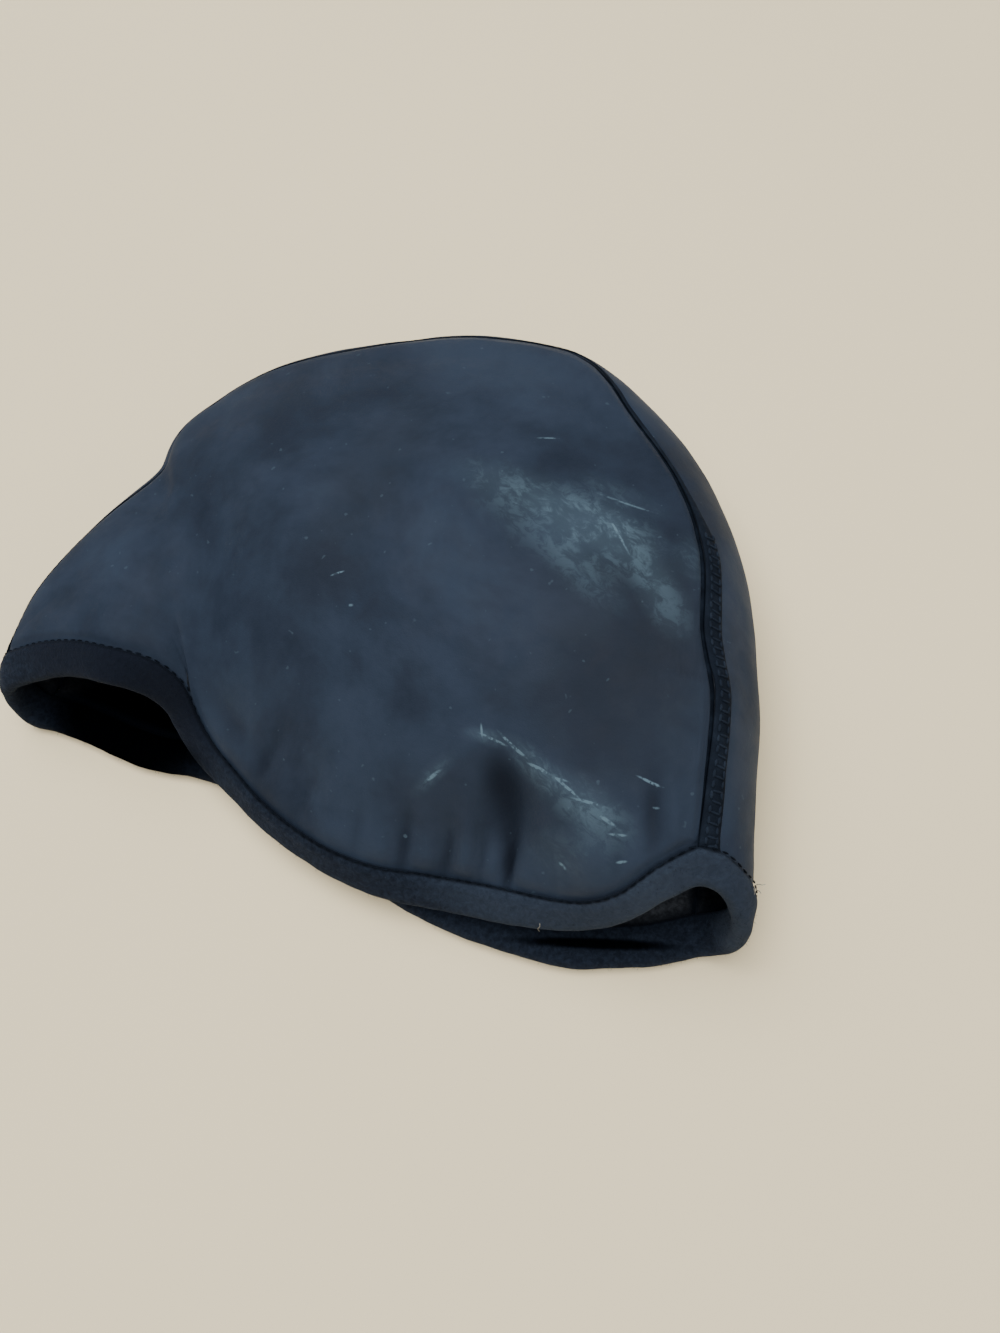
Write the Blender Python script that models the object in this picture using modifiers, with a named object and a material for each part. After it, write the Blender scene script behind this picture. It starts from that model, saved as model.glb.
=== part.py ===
"""Skull cap of fleece-backed stretch laminate, lying on its left side.

Two D-shaped side panels meet a centre panel that runs from the forehead over the crown to
the nape, and a binding is folded round the free edge. Metres, +Z up. +X runs from the nape
to the forehead and +Y from the rim to the crown. The origin is under the middle of the cap.
"""

import math
from collections import namedtuple

import bmesh
import bpy
from mathutils import Vector

# Driving sizes
CAP_LENGTH = 0.250  # nape fold to forehead fold
CAP_DEPTH = 0.192  # front of the rim to the crown
CAP_LOFT = 0.064  # floor to the top of the domed panel
WALL = 0.0024  # laminate of the three panels
BINDING_WALL = 0.0012  # one layer of the binding
BINDING_WIDTH = 0.012  # top of the binding to its folded edge
PIECE_GAP = 0.0006  # clearance between panels at a seam
TUCK_GAP = 0.0007  # clearance between a panel and the binding folded over it
CENTRE_BOW = 0.014  # how far the centre panel bows out at the forehead
SEAM_SPREAD = 0.004  # how far the lower seam lies outside the upper one
LOW_SEAM_LIFT = 0.0033  # lower seam above the middle of the flat panel
RIM_CLEAR = 0.0006  # lower binding above the floor
RIM_EASE = 0.012  # length in which the flat panel drops from the binding to the floor
SEAM_EASE = 0.020  # length in which the flat panel rises to its seam
DENT_DEPTH = 0.006  # deepest dent in the domed panel

# Mesh steps
RIBS = 44  # across a side panel and along the centre panel, from forehead to nape
DOME_ROWS = 14  # from the rim to the seam on the domed panel
FLAT_ROWS = 9  # from the rim to the seam on the flat panel
TUCK_ROWS = 2  # inside the binding
FOLD_STEPS = 8  # across each end of the centre panel
HEM_STEPS = 2  # on each flat side of the folded binding
TURN_STEPS = 4  # round the fold of the binding
EDGE_FADE = 8  # how fast a panel's shift off its seam fades away from it
PROBE = 0.01  # share of a rim, seam or rib over which its way is measured
SEAM_PROBE = 0.05  # share of a panel's width over which its way at the seam is measured
SHARPEST_SEAM = 0.5  # half angle in radians below which the shifts off a seam stop growing
DENT_FADE = 0.12  # share of a rib in which the dents fade at each end
FOLD_SHARES = (0.25, 0.50, 0.75)  # places of the stations across a fold
MERGE_DISTANCE = 0.00005

# Places on the rim's loop at the corners of the side panels
UPPER_FRONT, UPPER_BACK, LOWER_BACK, LOWER_FRONT, WHOLE_LOOP = 0, 1, 2, 3, 4

BINDING_HALF = WALL / 2 + TUCK_GAP + BINDING_WALL / 2
BINDING_REACH = BINDING_HALF + BINDING_WALL / 2
TUCK = BINDING_WIDTH - BINDING_REACH
FLAT_MIDDLE = WALL / 2
LOW_RIM_HEIGHT = RIM_CLEAR + BINDING_REACH
LOW_RIM_TOP = LOW_RIM_HEIGHT + BINDING_REACH
LOW_SEAM_HEIGHT = FLAT_MIDDLE + LOW_SEAM_LIFT

# Where the top of the binding lies on the upper side, from forehead to nape. Length and depth
# are shares of the cap's, lift is the share of its loft between the free edge and the lower
# binding, and heading and drop are the way that the free edge points, in degrees.
UpperRim = namedtuple("UpperRim", "t length depth lift heading drop")
UPPER_RIM = (
    UpperRim(0.000, 0.916, 0.198, 0.497, -66, 38),
    UpperRim(0.050, 0.876, 0.154, 0.422, -55, 50),
    UpperRim(0.090, 0.854, 0.122, 0.332, -50, 56),
    UpperRim(0.130, 0.824, 0.102, 0.227, -60, 58),
    UpperRim(0.185, 0.780, 0.094, 0.141, -80, 50),
    UpperRim(0.245, 0.716, 0.090, 0.093, -86, 40),
    UpperRim(0.330, 0.624, 0.078, 0.049, -78, 40),
    UpperRim(0.400, 0.564, 0.068, 0.034, -80, 50),
    UpperRim(0.455, 0.500, 0.075, 0.028, -96, 57),
    UpperRim(0.530, 0.422, 0.106, 0.028, -112, 57),
    UpperRim(0.605, 0.362, 0.146, 0.036, -119, 52),
    UpperRim(0.665, 0.320, 0.177, 0.057, -128, 42),
    UpperRim(0.710, 0.290, 0.212, 0.146, -126, 37),
    UpperRim(0.755, 0.272, 0.242, 0.277, -119, 31),
    UpperRim(0.800, 0.240, 0.253, 0.414, -108, 26),
    UpperRim(0.845, 0.192, 0.247, 0.467, -86, 29),
    UpperRim(0.900, 0.136, 0.246, 0.434, -64, 27),
    UpperRim(0.955, 0.072, 0.234, 0.343, -60, 26),
    UpperRim(1.000, 0.018, 0.212, 0.246, -70, 22),
)

# The rim of the lower side, which lies flat on the floor, from forehead to nape.
LowerRim = namedtuple("LowerRim", "t length depth heading")
LOWER_RIM = (
    LowerRim(0.000, 0.932, 0.146, -68),
    LowerRim(0.090, 0.880, 0.109, -66),
    LowerRim(0.130, 0.840, 0.091, -72),
    LowerRim(0.190, 0.802, 0.075, -83),
    LowerRim(0.250, 0.755, 0.070, -89),
    LowerRim(0.330, 0.680, 0.072, -94),
    LowerRim(0.400, 0.605, 0.085, -100),
    LowerRim(0.455, 0.546, 0.107, -106),
    LowerRim(0.530, 0.465, 0.137, -110),
    LowerRim(0.605, 0.386, 0.169, -106),
    LowerRim(0.665, 0.319, 0.184, -98),
    LowerRim(0.710, 0.266, 0.182, -93),
    LowerRim(0.755, 0.225, 0.176, -91),
    LowerRim(0.800, 0.178, 0.178, -92),
    LowerRim(0.870, 0.118, 0.187, -97),
    LowerRim(0.930, 0.080, 0.190, -98),
    LowerRim(1.000, 0.040, 0.187, -98),
)

# The way that the free edge points in the middle of the two folds between the sides.
Fold = namedtuple("Fold", "heading drop")
FOREHEAD_FOLD = Fold(-86, 14)
NAPE_FOLD = Fold(-84, 12)

# The upper seam from forehead to nape, with the centre panel's bow as a share of CENTRE_BOW
# and the lower seam's place outside it as a share of SEAM_SPREAD. Its ends are the rim's.
Seam = namedtuple("Seam", "t length depth loft bow spread")
SEAMS = (
    Seam(0.050, 0.904, 0.297, 0.828, 0.84, 1.00),
    Seam(0.090, 0.892, 0.391, 0.883, 0.86, 1.00),
    Seam(0.130, 0.868, 0.458, 0.891, 1.00, 1.00),
    Seam(0.185, 0.844, 0.589, 0.867, 0.89, 1.00),
    Seam(0.245, 0.798, 0.703, 0.828, 0.86, 1.00),
    Seam(0.330, 0.716, 0.823, 0.781, 0.90, 1.00),
    Seam(0.400, 0.628, 0.934, 0.734, 0.52, 1.00),
    Seam(0.455, 0.512, 0.945, 0.719, 0.57, 1.00),
    Seam(0.530, 0.416, 0.921, 0.703, 0.54, 1.00),
    Seam(0.605, 0.290, 0.860, 0.672, 0.54, 1.00),
    Seam(0.665, 0.204, 0.812, 0.609, 0.50, 1.00),
    Seam(0.710, 0.146, 0.728, 0.578, 0.46, 0.90),
    Seam(0.755, 0.118, 0.667, 0.555, 0.46, 0.80),
    Seam(0.800, 0.126, 0.594, 0.547, 0.46, 0.75),
    Seam(0.845, 0.088, 0.500, 0.555, 0.46, 0.50),
    Seam(0.900, 0.050, 0.391, 0.539, 0.43, 0.00),
    Seam(0.955, 0.024, 0.302, 0.484, 0.40, -0.75),
)
FOREHEAD_BOW = 1.00
NAPE_BOW = 0.36

# How fully the domed panel rises along a rib, as shares of the rib's own length.
Fullness = namedtuple("Fullness", "t rim seam")
FULLNESS = (
    Fullness(0.000, 0.05, 0.03),
    Fullness(0.050, 0.10, 0.06),
    Fullness(0.090, 0.20, 0.10),
    Fullness(0.130, 0.28, 0.12),
    Fullness(0.185, 0.32, 0.14),
    Fullness(0.245, 0.34, 0.15),
    Fullness(0.330, 0.33, 0.17),
    Fullness(0.455, 0.30, 0.19),
    Fullness(0.605, 0.30, 0.20),
    Fullness(0.710, 0.24, 0.20),
    Fullness(0.800, 0.16, 0.18),
    Fullness(0.845, 0.12, 0.16),
    Fullness(0.900, 0.10, 0.12),
    Fullness(0.955, 0.06, 0.06),
    Fullness(1.000, 0.05, 0.03),
)

# Dents (above 0) and ridges (below 0) in the domed panel: the middle as shares of the cap's
# length and depth, half length and half width as shares of its length, the way that the long
# side runs in degrees, and the depth as a share of DENT_DEPTH.
Dent = namedtuple("Dent", "name length depth half_length half_width heading share")
DENTS = (
    Dent("valley above the forehead opening", 0.712, 0.185, 0.090, 0.026, 100, 0.95),
    Dent("ridge over the valley", 0.740, 0.225, 0.090, 0.030, -25, -0.40),
    Dent("shoulder beside the valley", 0.800, 0.165, 0.050, 0.032, 110, -0.35),
    Dent("ridge towards the ear", 0.655, 0.215, 0.060, 0.030, 25, -0.35),
    Dent("gather at the binding, ear side", 0.590, 0.115, 0.040, 0.018, 85, 0.40),
    Dent("gather at the binding, middle", 0.640, 0.110, 0.040, 0.016, 85, 0.40),
    Dent("hollow above the ear", 0.410, 0.170, 0.110, 0.060, 140, 0.50),
    Dent("fold behind the ear", 0.230, 0.480, 0.180, 0.060, 150, 0.60),
    Dent("dish in the nape lobe", 0.110, 0.330, 0.060, 0.050, 60, 0.25),
    Dent("dip at the crown seam", 0.700, 0.790, 0.050, 0.035, 45, 0.35),
)

PANEL_CLOTH = ("panel_cloth", (0.020, 0.025, 0.036), 0.50)
BINDING_CLOTH = ("binding_cloth", (0.012, 0.014, 0.020), 0.92)


def cap_point(length, depth, loft=0.0):
    """A point given as shares of the cap's length, depth and loft."""
    return Vector((length * CAP_LENGTH, depth * CAP_DEPTH, loft * CAP_LOFT))


def pointing(heading, drop=0.0):
    """The unit vector of a heading in the plan and a drop below the level, in degrees."""
    turn, fall = math.radians(heading), math.radians(drop)
    return Vector((math.cos(turn) * math.cos(fall), math.sin(turn) * math.cos(fall), -math.sin(fall)))


def smooth_between(stations, at, period=0.0):
    """The vector at a place between stations of (place, vector), on a smooth curve."""
    count = len(stations)

    def station(index):
        if period:
            place, value = stations[index % count]
            return place + period * (index // count), value
        return stations[max(0, min(count - 1, index))]

    left = 0 if not period else -1
    last = count - 2 if not period else count - 1
    while left < last and station(left + 1)[0] <= at:
        left += 1
    (t0, p0), (t1, p1), (t2, p2), (t3, p3) = (station(left + step) for step in (-1, 0, 1, 2))
    span = t2 - t1
    leave = (p2 - p0) * (span / (t2 - t0))
    arrive = (p3 - p1) * (span / (t3 - t1))
    s = (at - t1) / span
    return (
        p1 * (2 * s**3 - 3 * s**2 + 1)
        + leave * (s**3 - 2 * s**2 + s)
        + p2 * (3 * s**2 - 2 * s**3)
        + arrive * (s**3 - s**2)
    )


def smooth_step(share):
    """An S-curve from 0 to 1."""
    share = max(0.0, min(1.0, share))
    return share * share * (3.0 - 2.0 * share)


def bowed(start, end, along, bow, share):
    """A point at a share of an arc from start to end that bows out from its chord."""
    chord = end - start
    out = along.cross(chord).normalized()
    half = chord.length / 2
    radius = (half * half + bow * bow) / (2 * bow)
    half_angle = math.atan2(half, radius - bow)
    angle = (2 * share - 1) * half_angle
    middle = (start + end) / 2 + out * (bow - radius)
    return middle + chord.normalized() * (radius * math.sin(angle)) + out * (radius * math.cos(angle))


def upper_rim_point(row):
    """The top of the binding at a row of the upper rim, with its free edge above the lower one."""
    height = LOW_RIM_TOP + BINDING_WIDTH * math.sin(math.radians(row.drop))
    return cap_point(row.length, row.depth, row.lift) + Vector((0.0, 0.0, height))


def rim_loop():
    """Stations round the whole rim: (place, top of the binding) and (place, way to the edge).

    Places run 0 to 1 along the upper side, to 2 over the nape fold, to 3 along the lower
    side back to the forehead, and to 4 over the forehead fold.
    """
    upper = [(row.t, upper_rim_point(row)) for row in UPPER_RIM]
    upper_way = [(row.t, pointing(row.heading, row.drop)) for row in UPPER_RIM]
    level = Vector((0.0, 0.0, LOW_RIM_HEIGHT))
    lower = [
        (LOWER_FRONT - row.t, cap_point(row.length, row.depth) + level) for row in reversed(LOWER_RIM)
    ]
    lower_way = [(LOWER_FRONT - row.t, pointing(row.heading)) for row in reversed(LOWER_RIM)]
    tops, ways = upper + lower, upper_way + lower_way
    nape = (upper[-1][1], lower[0][1], upper_way[-1][1], lower_way[0][1])
    forehead = (lower[-1][1], upper[0][1], lower_way[-1][1], upper_way[0][1])
    folds = (
        (UPPER_BACK, nape, NAPE_FOLD, NAPE_BOW),
        (LOWER_FRONT, forehead, FOREHEAD_FOLD, FOREHEAD_BOW),
    )
    for place, (start, end, start_way, end_way), fold, bow in folds:
        middle_way = pointing(fold.heading, fold.drop)
        fold_ways = (start_way + middle_way, middle_way, middle_way + end_way)
        for share, way in zip(FOLD_SHARES, fold_ways):
            tops.append((place + share, bowed(start, end, -middle_way, bow * CENTRE_BOW, share)))
            ways.append((place + share, way.normalized()))
    return sorted(tops, key=lambda row: row[0]), sorted(ways, key=lambda row: row[0])


RIM_TOPS, RIM_WAYS = rim_loop()


def rim_top(place):
    """The top of the binding at a place on the rim's loop."""
    return smooth_between(RIM_TOPS, place % WHOLE_LOOP, WHOLE_LOOP)


def rim_way(place):
    """The way from the binding's top to its folded edge at a place on the rim's loop."""
    return smooth_between(RIM_WAYS, place % WHOLE_LOOP, WHOLE_LOOP).normalized()


def seam_stations():
    """Stations of the upper seam, the lower seam, and the bow between them."""
    middle = [(row.t, cap_point(row.length, row.depth, row.loft)) for row in SEAMS]
    upper = [(0.0, rim_top(UPPER_FRONT))] + middle + [(1.0, rim_top(UPPER_BACK))]
    lower = []
    for row in SEAMS:
        along = smooth_between(upper, row.t + PROBE) - smooth_between(upper, row.t - PROBE)
        out = Vector((along.y, -along.x, 0.0)).normalized()
        place = smooth_between(upper, row.t) + out * (row.spread * SEAM_SPREAD)
        lower.append((row.t, Vector((place.x, place.y, LOW_SEAM_HEIGHT))))
    lower = [(0.0, rim_top(LOWER_FRONT))] + lower + [(1.0, rim_top(LOWER_BACK))]
    shares = [(0.0, FOREHEAD_BOW)] + [(row.t, row.bow) for row in SEAMS] + [(1.0, NAPE_BOW)]
    bows = [(t, Vector((share * CENTRE_BOW, 0.0, 0.0))) for t, share in shares]
    return upper, lower, bows


UPPER_SEAM, LOWER_SEAM, BOWS = seam_stations()
DOME_STATIONS = [(row.t, Vector((row.rim, row.seam, 0.0))) for row in FULLNESS]


def seam_along(stations, t):
    """The way that a seam runs, from forehead to nape."""
    ahead = smooth_between(stations, min(1.0, t + PROBE))
    behind = smooth_between(stations, max(0.0, t - PROBE))
    return (ahead - behind).normalized()


def strip_point(t, share, upper=None, lower=None):
    """A point on the centre panel at t along it and a share from the upper to the lower seam."""
    upper = upper or smooth_between(UPPER_SEAM, t)
    lower = lower or smooth_between(LOWER_SEAM, t)
    along = seam_along(UPPER_SEAM, t) + seam_along(LOWER_SEAM, t)
    return bowed(upper, lower, -along, smooth_between(BOWS, t).x, share)


def dome_handles(t):
    """The four points of the cubic that a rib of the domed panel follows from rim to seam."""
    rim, seam = rim_top(t), smooth_between(UPPER_SEAM, t)
    rise = smooth_between(DOME_STATIONS, t)
    rib = seam - rim
    near = rim + rib / 3 + Vector((0.0, 0.0, rise.x * rib.length))
    far = rim + rib * 2 / 3 + Vector((0.0, 0.0, rise.y * rib.length))
    return rim, near, far, seam


def seam_inset(t, stations, side_way, strip_way):
    """How far two panels' edges stay off their seam so that they clear each other."""
    along = seam_along(stations, t)
    side = (side_way - along * side_way.dot(along)).normalized()
    strip = (strip_way - along * strip_way.dot(along)).normalized()
    half = max(SHARPEST_SEAM, side.angle(strip) / 2)
    inset = WALL / 2 / math.tan(half) + PIECE_GAP / 2 / math.sin(half)
    return side * inset, strip * inset


def upper_insets(t):
    """The shifts off the upper seam of the domed panel's edge and of the centre panel's."""
    _, _, far, seam = dome_handles(t)
    return seam_inset(t, UPPER_SEAM, far - seam, strip_point(t, SEAM_PROBE) - seam)


def lower_insets(t):
    """The shifts off the lower seam of the flat panel's edge and of the centre panel's."""
    seam = smooth_between(LOWER_SEAM, t)
    side, strip = flat_middle(t, 1 - SEAM_PROBE), strip_point(t, 1 - SEAM_PROBE)
    return seam_inset(t, LOWER_SEAM, side - seam, strip - seam)


def corner_step(place):
    """The step along the rim that keeps a panel's corner off the end of its seam."""
    speed = (rim_top(place + PROBE) - rim_top(place - PROBE)).length / (2 * PROBE)
    near_corner = 1 - 1 / RIBS if place in (UPPER_BACK, LOWER_BACK) else 1 / RIBS
    insets = lower_insets if place in (LOWER_BACK, LOWER_FRONT) else upper_insets
    shift, _ = insets(near_corner)
    return shift.length / speed


def flat_height(to_rim, to_seam):
    """The height of the flat panel's middle, from the lengths to its rim and to its seam."""
    at_rim = (LOW_RIM_HEIGHT - FLAT_MIDDLE) * (1 - smooth_step(to_rim / RIM_EASE))
    at_seam = LOW_SEAM_LIFT * (1 - smooth_step(to_seam / SEAM_EASE))
    return FLAT_MIDDLE + at_rim + at_seam


def flat_middle(t, share):
    """A point of the flat panel's middle at a share of the rib from rim to seam."""
    rim, seam = rim_top(LOWER_FRONT - t), smooth_between(LOWER_SEAM, t)
    place = rim.lerp(seam, share)
    length = (seam - rim).length
    if length < RIM_EASE + SEAM_EASE:
        return place
    return Vector((place.x, place.y, flat_height(share * length, (1 - share) * length)))


def dent_at(place):
    """The depth of the dents at a place in the plan."""
    depth = 0.0
    for dent in DENTS:
        middle = cap_point(dent.length, dent.depth)
        turn = math.radians(dent.heading)
        off = place - middle
        along = off.x * math.cos(turn) + off.y * math.sin(turn)
        across = off.y * math.cos(turn) - off.x * math.sin(turn)
        reach = (along / (dent.half_length * CAP_LENGTH)) ** 2
        reach += (across / (dent.half_width * CAP_LENGTH)) ** 2
        depth += dent.share * DENT_DEPTH * math.exp(-reach)
    return depth


def dome_smooth(t, share):
    """A point of the domed panel at a share of the rib, before its dents."""
    rim, near, far, seam = dome_handles(t)
    left = 1 - share
    return rim * left**3 + near * (3 * left**2 * share) + far * (3 * left * share**2) + seam * share**3


def dome_point(t, share):
    """A point of the domed panel with its dents, which fade out at the rim and the seam."""
    place = dome_smooth(t, share)
    along = dome_smooth(min(1.0, t + PROBE), share) - dome_smooth(max(0.0, t - PROBE), share)
    up_rib = dome_smooth(t, min(1.0, share + PROBE)) - dome_smooth(t, max(0.0, share - PROBE))
    outward = up_rib.cross(along).normalized()
    fade = smooth_step(share / DENT_FADE) * smooth_step((1 - share) / DENT_FADE)
    return place - outward * (dent_at(place) * fade)


def tucked(place, share):
    """A point on the part of a panel that the binding holds, from its edge to the top."""
    return rim_top(place) + rim_way(place) * (TUCK * (1 - share))


def between_corners(share, start, end):
    """A share of the rim from one corner to the next, held off the corners at its ends."""
    if share == 0:
        return corner_step(start)
    if share == 1:
        return 1 - corner_step(end)
    return share


def domed_panel(share, row):
    """The domed panel at a share of its ribs and a row from the tucked edge to the seam."""
    t = between_corners(share, UPPER_FRONT, UPPER_BACK)
    if row <= TUCK_ROWS:
        return tucked(t, row / TUCK_ROWS)
    if share in (0, 1):
        return rim_top(t)
    rise = (row - TUCK_ROWS) / DOME_ROWS
    edge, _ = upper_insets(t)
    return dome_point(t, rise) + edge * rise**EDGE_FADE


def flat_panel(share, row):
    """The flat panel at a share of its ribs and a row from the tucked edge to the seam."""
    t = between_corners(share, LOWER_FRONT, LOWER_BACK)
    if row <= TUCK_ROWS:
        return tucked(LOWER_FRONT - t, row / TUCK_ROWS)
    if share in (0, 1):
        return rim_top(LOWER_FRONT - t)
    rise = (row - TUCK_ROWS) / FLAT_ROWS
    edge, _ = lower_insets(t)
    return flat_middle(t, rise) + edge * rise**EDGE_FADE


def strip_panel(row, share):
    """The centre panel at a row along it, tucked rows at both ends, and a share across it."""
    if row <= TUCK_ROWS:
        place = WHOLE_LOOP - between_corners(share, WHOLE_LOOP, LOWER_FRONT)
        return tucked(place, row / TUCK_ROWS)
    if row >= TUCK_ROWS + RIBS:
        place = UPPER_BACK + between_corners(share, UPPER_BACK, LOWER_BACK)
        return tucked(place, (2 * TUCK_ROWS + RIBS - row) / TUCK_ROWS)
    t = (row - TUCK_ROWS) / RIBS
    _, upper_edge = upper_insets(t)
    _, lower_edge = lower_insets(t)
    upper = smooth_between(UPPER_SEAM, t) + upper_edge
    lower = smooth_between(LOWER_SEAM, t) + lower_edge
    return strip_point(t, share, upper, lower)


def binding_point(place, row):
    """The folded binding at a place round the rim and a row from its outer to its inner top."""
    top, way = rim_top(place), rim_way(place)
    along = (rim_top(place + PROBE) - rim_top(place - PROBE)).normalized()
    outward = along.cross(way).normalized()
    if row <= HEM_STEPS:
        return top + way * (TUCK * row / HEM_STEPS) + outward * BINDING_HALF
    if row >= HEM_STEPS + TURN_STEPS:
        left = 2 * HEM_STEPS + TURN_STEPS - row
        return top + way * (TUCK * left / HEM_STEPS) - outward * BINDING_HALF
    angle = math.pi * (row - HEM_STEPS) / TURN_STEPS
    return top + way * (TUCK + BINDING_HALF * math.sin(angle)) + outward * (BINDING_HALF * math.cos(angle))


def cloth(name, colour, roughness):
    """A plain cloth material."""
    material = bpy.data.materials.new(name)
    material.use_nodes = True
    shader = material.node_tree.nodes["Principled BSDF"]
    shader.inputs["Base Color"].default_value = (*colour, 1.0)
    shader.inputs["Roughness"].default_value = roughness
    shader.inputs["Metallic"].default_value = 0.0
    material.diffuse_color = (*colour, 1.0)
    return material


def bent_grid(name, columns, rows, place, wall, material, collection):
    """A grid of cloth with its points moved to place(column, row), given a wall."""
    mesh = bpy.data.meshes.new(name)
    grid = bmesh.new()
    bmesh.ops.create_grid(grid, x_segments=columns, y_segments=rows, size=1.0)
    for point in grid.verts:
        column = round((point.co.x + 1) / 2 * columns)
        row = round((point.co.y + 1) / 2 * rows)
        point.co = place(column, row)
    bmesh.ops.remove_doubles(grid, verts=grid.verts, dist=MERGE_DISTANCE)
    bmesh.ops.recalc_face_normals(grid, faces=grid.faces)
    grid.to_mesh(mesh)
    grid.free()
    mesh.shade_smooth()
    piece = bpy.data.objects.new(name, mesh)
    piece.data.materials.append(material)
    collection.objects.link(piece)
    solidify = piece.modifiers.new("wall", "SOLIDIFY")
    solidify.thickness = wall
    solidify.offset = 0.0
    return piece


def rim_places():
    """Places round the rim, at the ribs on both sides and at even steps over the folds."""
    ribs = [index / RIBS for index in range(RIBS)]
    folds = [index / FOLD_STEPS for index in range(FOLD_STEPS)]
    starts = ((UPPER_FRONT, ribs), (UPPER_BACK, folds), (LOWER_BACK, ribs), (LOWER_FRONT, folds))
    return [corner + share for corner, shares in starts for share in shares] + [float(WHOLE_LOOP)]


def stand_on_origin(pieces, carrier):
    """Moves the carrier so that the cap's footprint is centred on the origin."""
    bpy.context.view_layer.update()
    graph = bpy.context.evaluated_depsgraph_get()
    corners = []
    for piece in pieces:
        shaped = piece.evaluated_get(graph)
        corners += [shaped.matrix_world @ Vector(corner) for corner in shaped.bound_box]
    low = Vector(min(corner[axis] for corner in corners) for axis in range(3))
    high = Vector(max(corner[axis] for corner in corners) for axis in range(3))
    carrier.location = (-(low.x + high.x) / 2, -(low.y + high.y) / 2, -low.z)


def build_cap():
    """Builds the four pieces of the cap under one empty."""
    collection = bpy.data.collections.new("skull_cap")
    bpy.context.scene.collection.children.link(collection)
    panel_cloth, binding_cloth = cloth(*PANEL_CLOTH), cloth(*BINDING_CLOTH)
    places = rim_places()
    strip_rows = 2 * TUCK_ROWS + RIBS
    pieces = (
        bent_grid(
            "side_panel_right",
            RIBS,
            TUCK_ROWS + DOME_ROWS,
            lambda column, row: domed_panel(column / RIBS, row),
            WALL,
            panel_cloth,
            collection,
        ),
        bent_grid(
            "side_panel_left",
            RIBS,
            TUCK_ROWS + FLAT_ROWS,
            lambda column, row: flat_panel(column / RIBS, row),
            WALL,
            panel_cloth,
            collection,
        ),
        bent_grid(
            "centre_panel",
            strip_rows,
            FOLD_STEPS,
            lambda column, row: strip_panel(column, row / FOLD_STEPS),
            WALL,
            panel_cloth,
            collection,
        ),
        bent_grid(
            "rim_binding",
            len(places) - 1,
            2 * HEM_STEPS + TURN_STEPS,
            lambda column, row: binding_point(places[column], row),
            BINDING_WALL,
            binding_cloth,
            collection,
        ),
    )
    carrier = bpy.data.objects.new("skull_cap", None)
    collection.objects.link(carrier)
    for piece in pieces:
        piece.parent = carrier
    stand_on_origin(pieces, carrier)


for old in list(bpy.data.objects):
    bpy.data.objects.remove(old, do_unlink=True)
build_cap()
bpy.context.view_layer.update()
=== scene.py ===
"""The looks of a skull cap of fleece-backed stretch laminate, lying on its left side.

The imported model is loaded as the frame. Each panel and the binding is a subdivided copy of its
solid with gathers, seams and wear, and the flat stitched seams, the binding's stitches, the
loose threads and the lint are modelled on them. Metres, +Z up. +X runs from the nape to the
forehead, and +Y from the rim to the crown.
"""

from __future__ import annotations

import logging
import math
import random
from dataclasses import dataclass, field, replace
from enum import Enum
from typing import NamedTuple

import bmesh
import bpy
from mathutils import Euler, Matrix, Vector, noise
from mathutils.bvhtree import BVHTree


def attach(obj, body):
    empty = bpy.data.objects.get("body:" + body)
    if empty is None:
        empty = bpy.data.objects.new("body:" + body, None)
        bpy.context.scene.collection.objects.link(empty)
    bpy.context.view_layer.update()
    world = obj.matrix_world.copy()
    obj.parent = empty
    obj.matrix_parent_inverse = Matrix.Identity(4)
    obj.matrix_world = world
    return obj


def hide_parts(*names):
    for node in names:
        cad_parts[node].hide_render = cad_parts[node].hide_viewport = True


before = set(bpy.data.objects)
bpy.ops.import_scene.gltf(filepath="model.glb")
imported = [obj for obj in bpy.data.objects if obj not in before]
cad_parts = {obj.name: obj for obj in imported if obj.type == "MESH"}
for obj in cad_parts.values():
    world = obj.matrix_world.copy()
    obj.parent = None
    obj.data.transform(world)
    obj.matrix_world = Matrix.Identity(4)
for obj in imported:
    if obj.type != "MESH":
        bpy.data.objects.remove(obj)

MM = 0.001
HOLLOW_MIDDLE = Vector((0.020, -0.010, 0.028))
MERGE_DISTANCE = 0.01 * MM
WALL_ANGLE = 50.0
SHORTEST_LOOP = 8
CURVE_PARTS = 8
PANELS = ("side_panel_right", "side_panel_left", "centre_panel")
Socket = bpy.types.NodeSocket
Shade = tuple[float, float, float]
Span = tuple[float, float]
log = logging.getLogger("skull_cap")


class Side(Enum):
    """Which surface of a cloth wall a face belongs to."""

    FACE = 0
    BACKING = 1


class Seam(Enum):
    """The two long seams, by the side panel that they join to the centre panel."""

    UPPER = "side_panel_right"
    LOWER = "side_panel_left"


# Shader helpers


class Ramp(NamedTuple):
    """A range of values and the range that it is taken onto."""

    low: float
    high: float
    start: float = 0.0
    end: float = 1.0


class Pattern(NamedTuple):
    """A noise: its scale per metre, its detail, its roughness and its warp."""

    scale: float
    detail: float = 3.0
    rough: float = 0.55
    warp: float = 0.0


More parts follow.
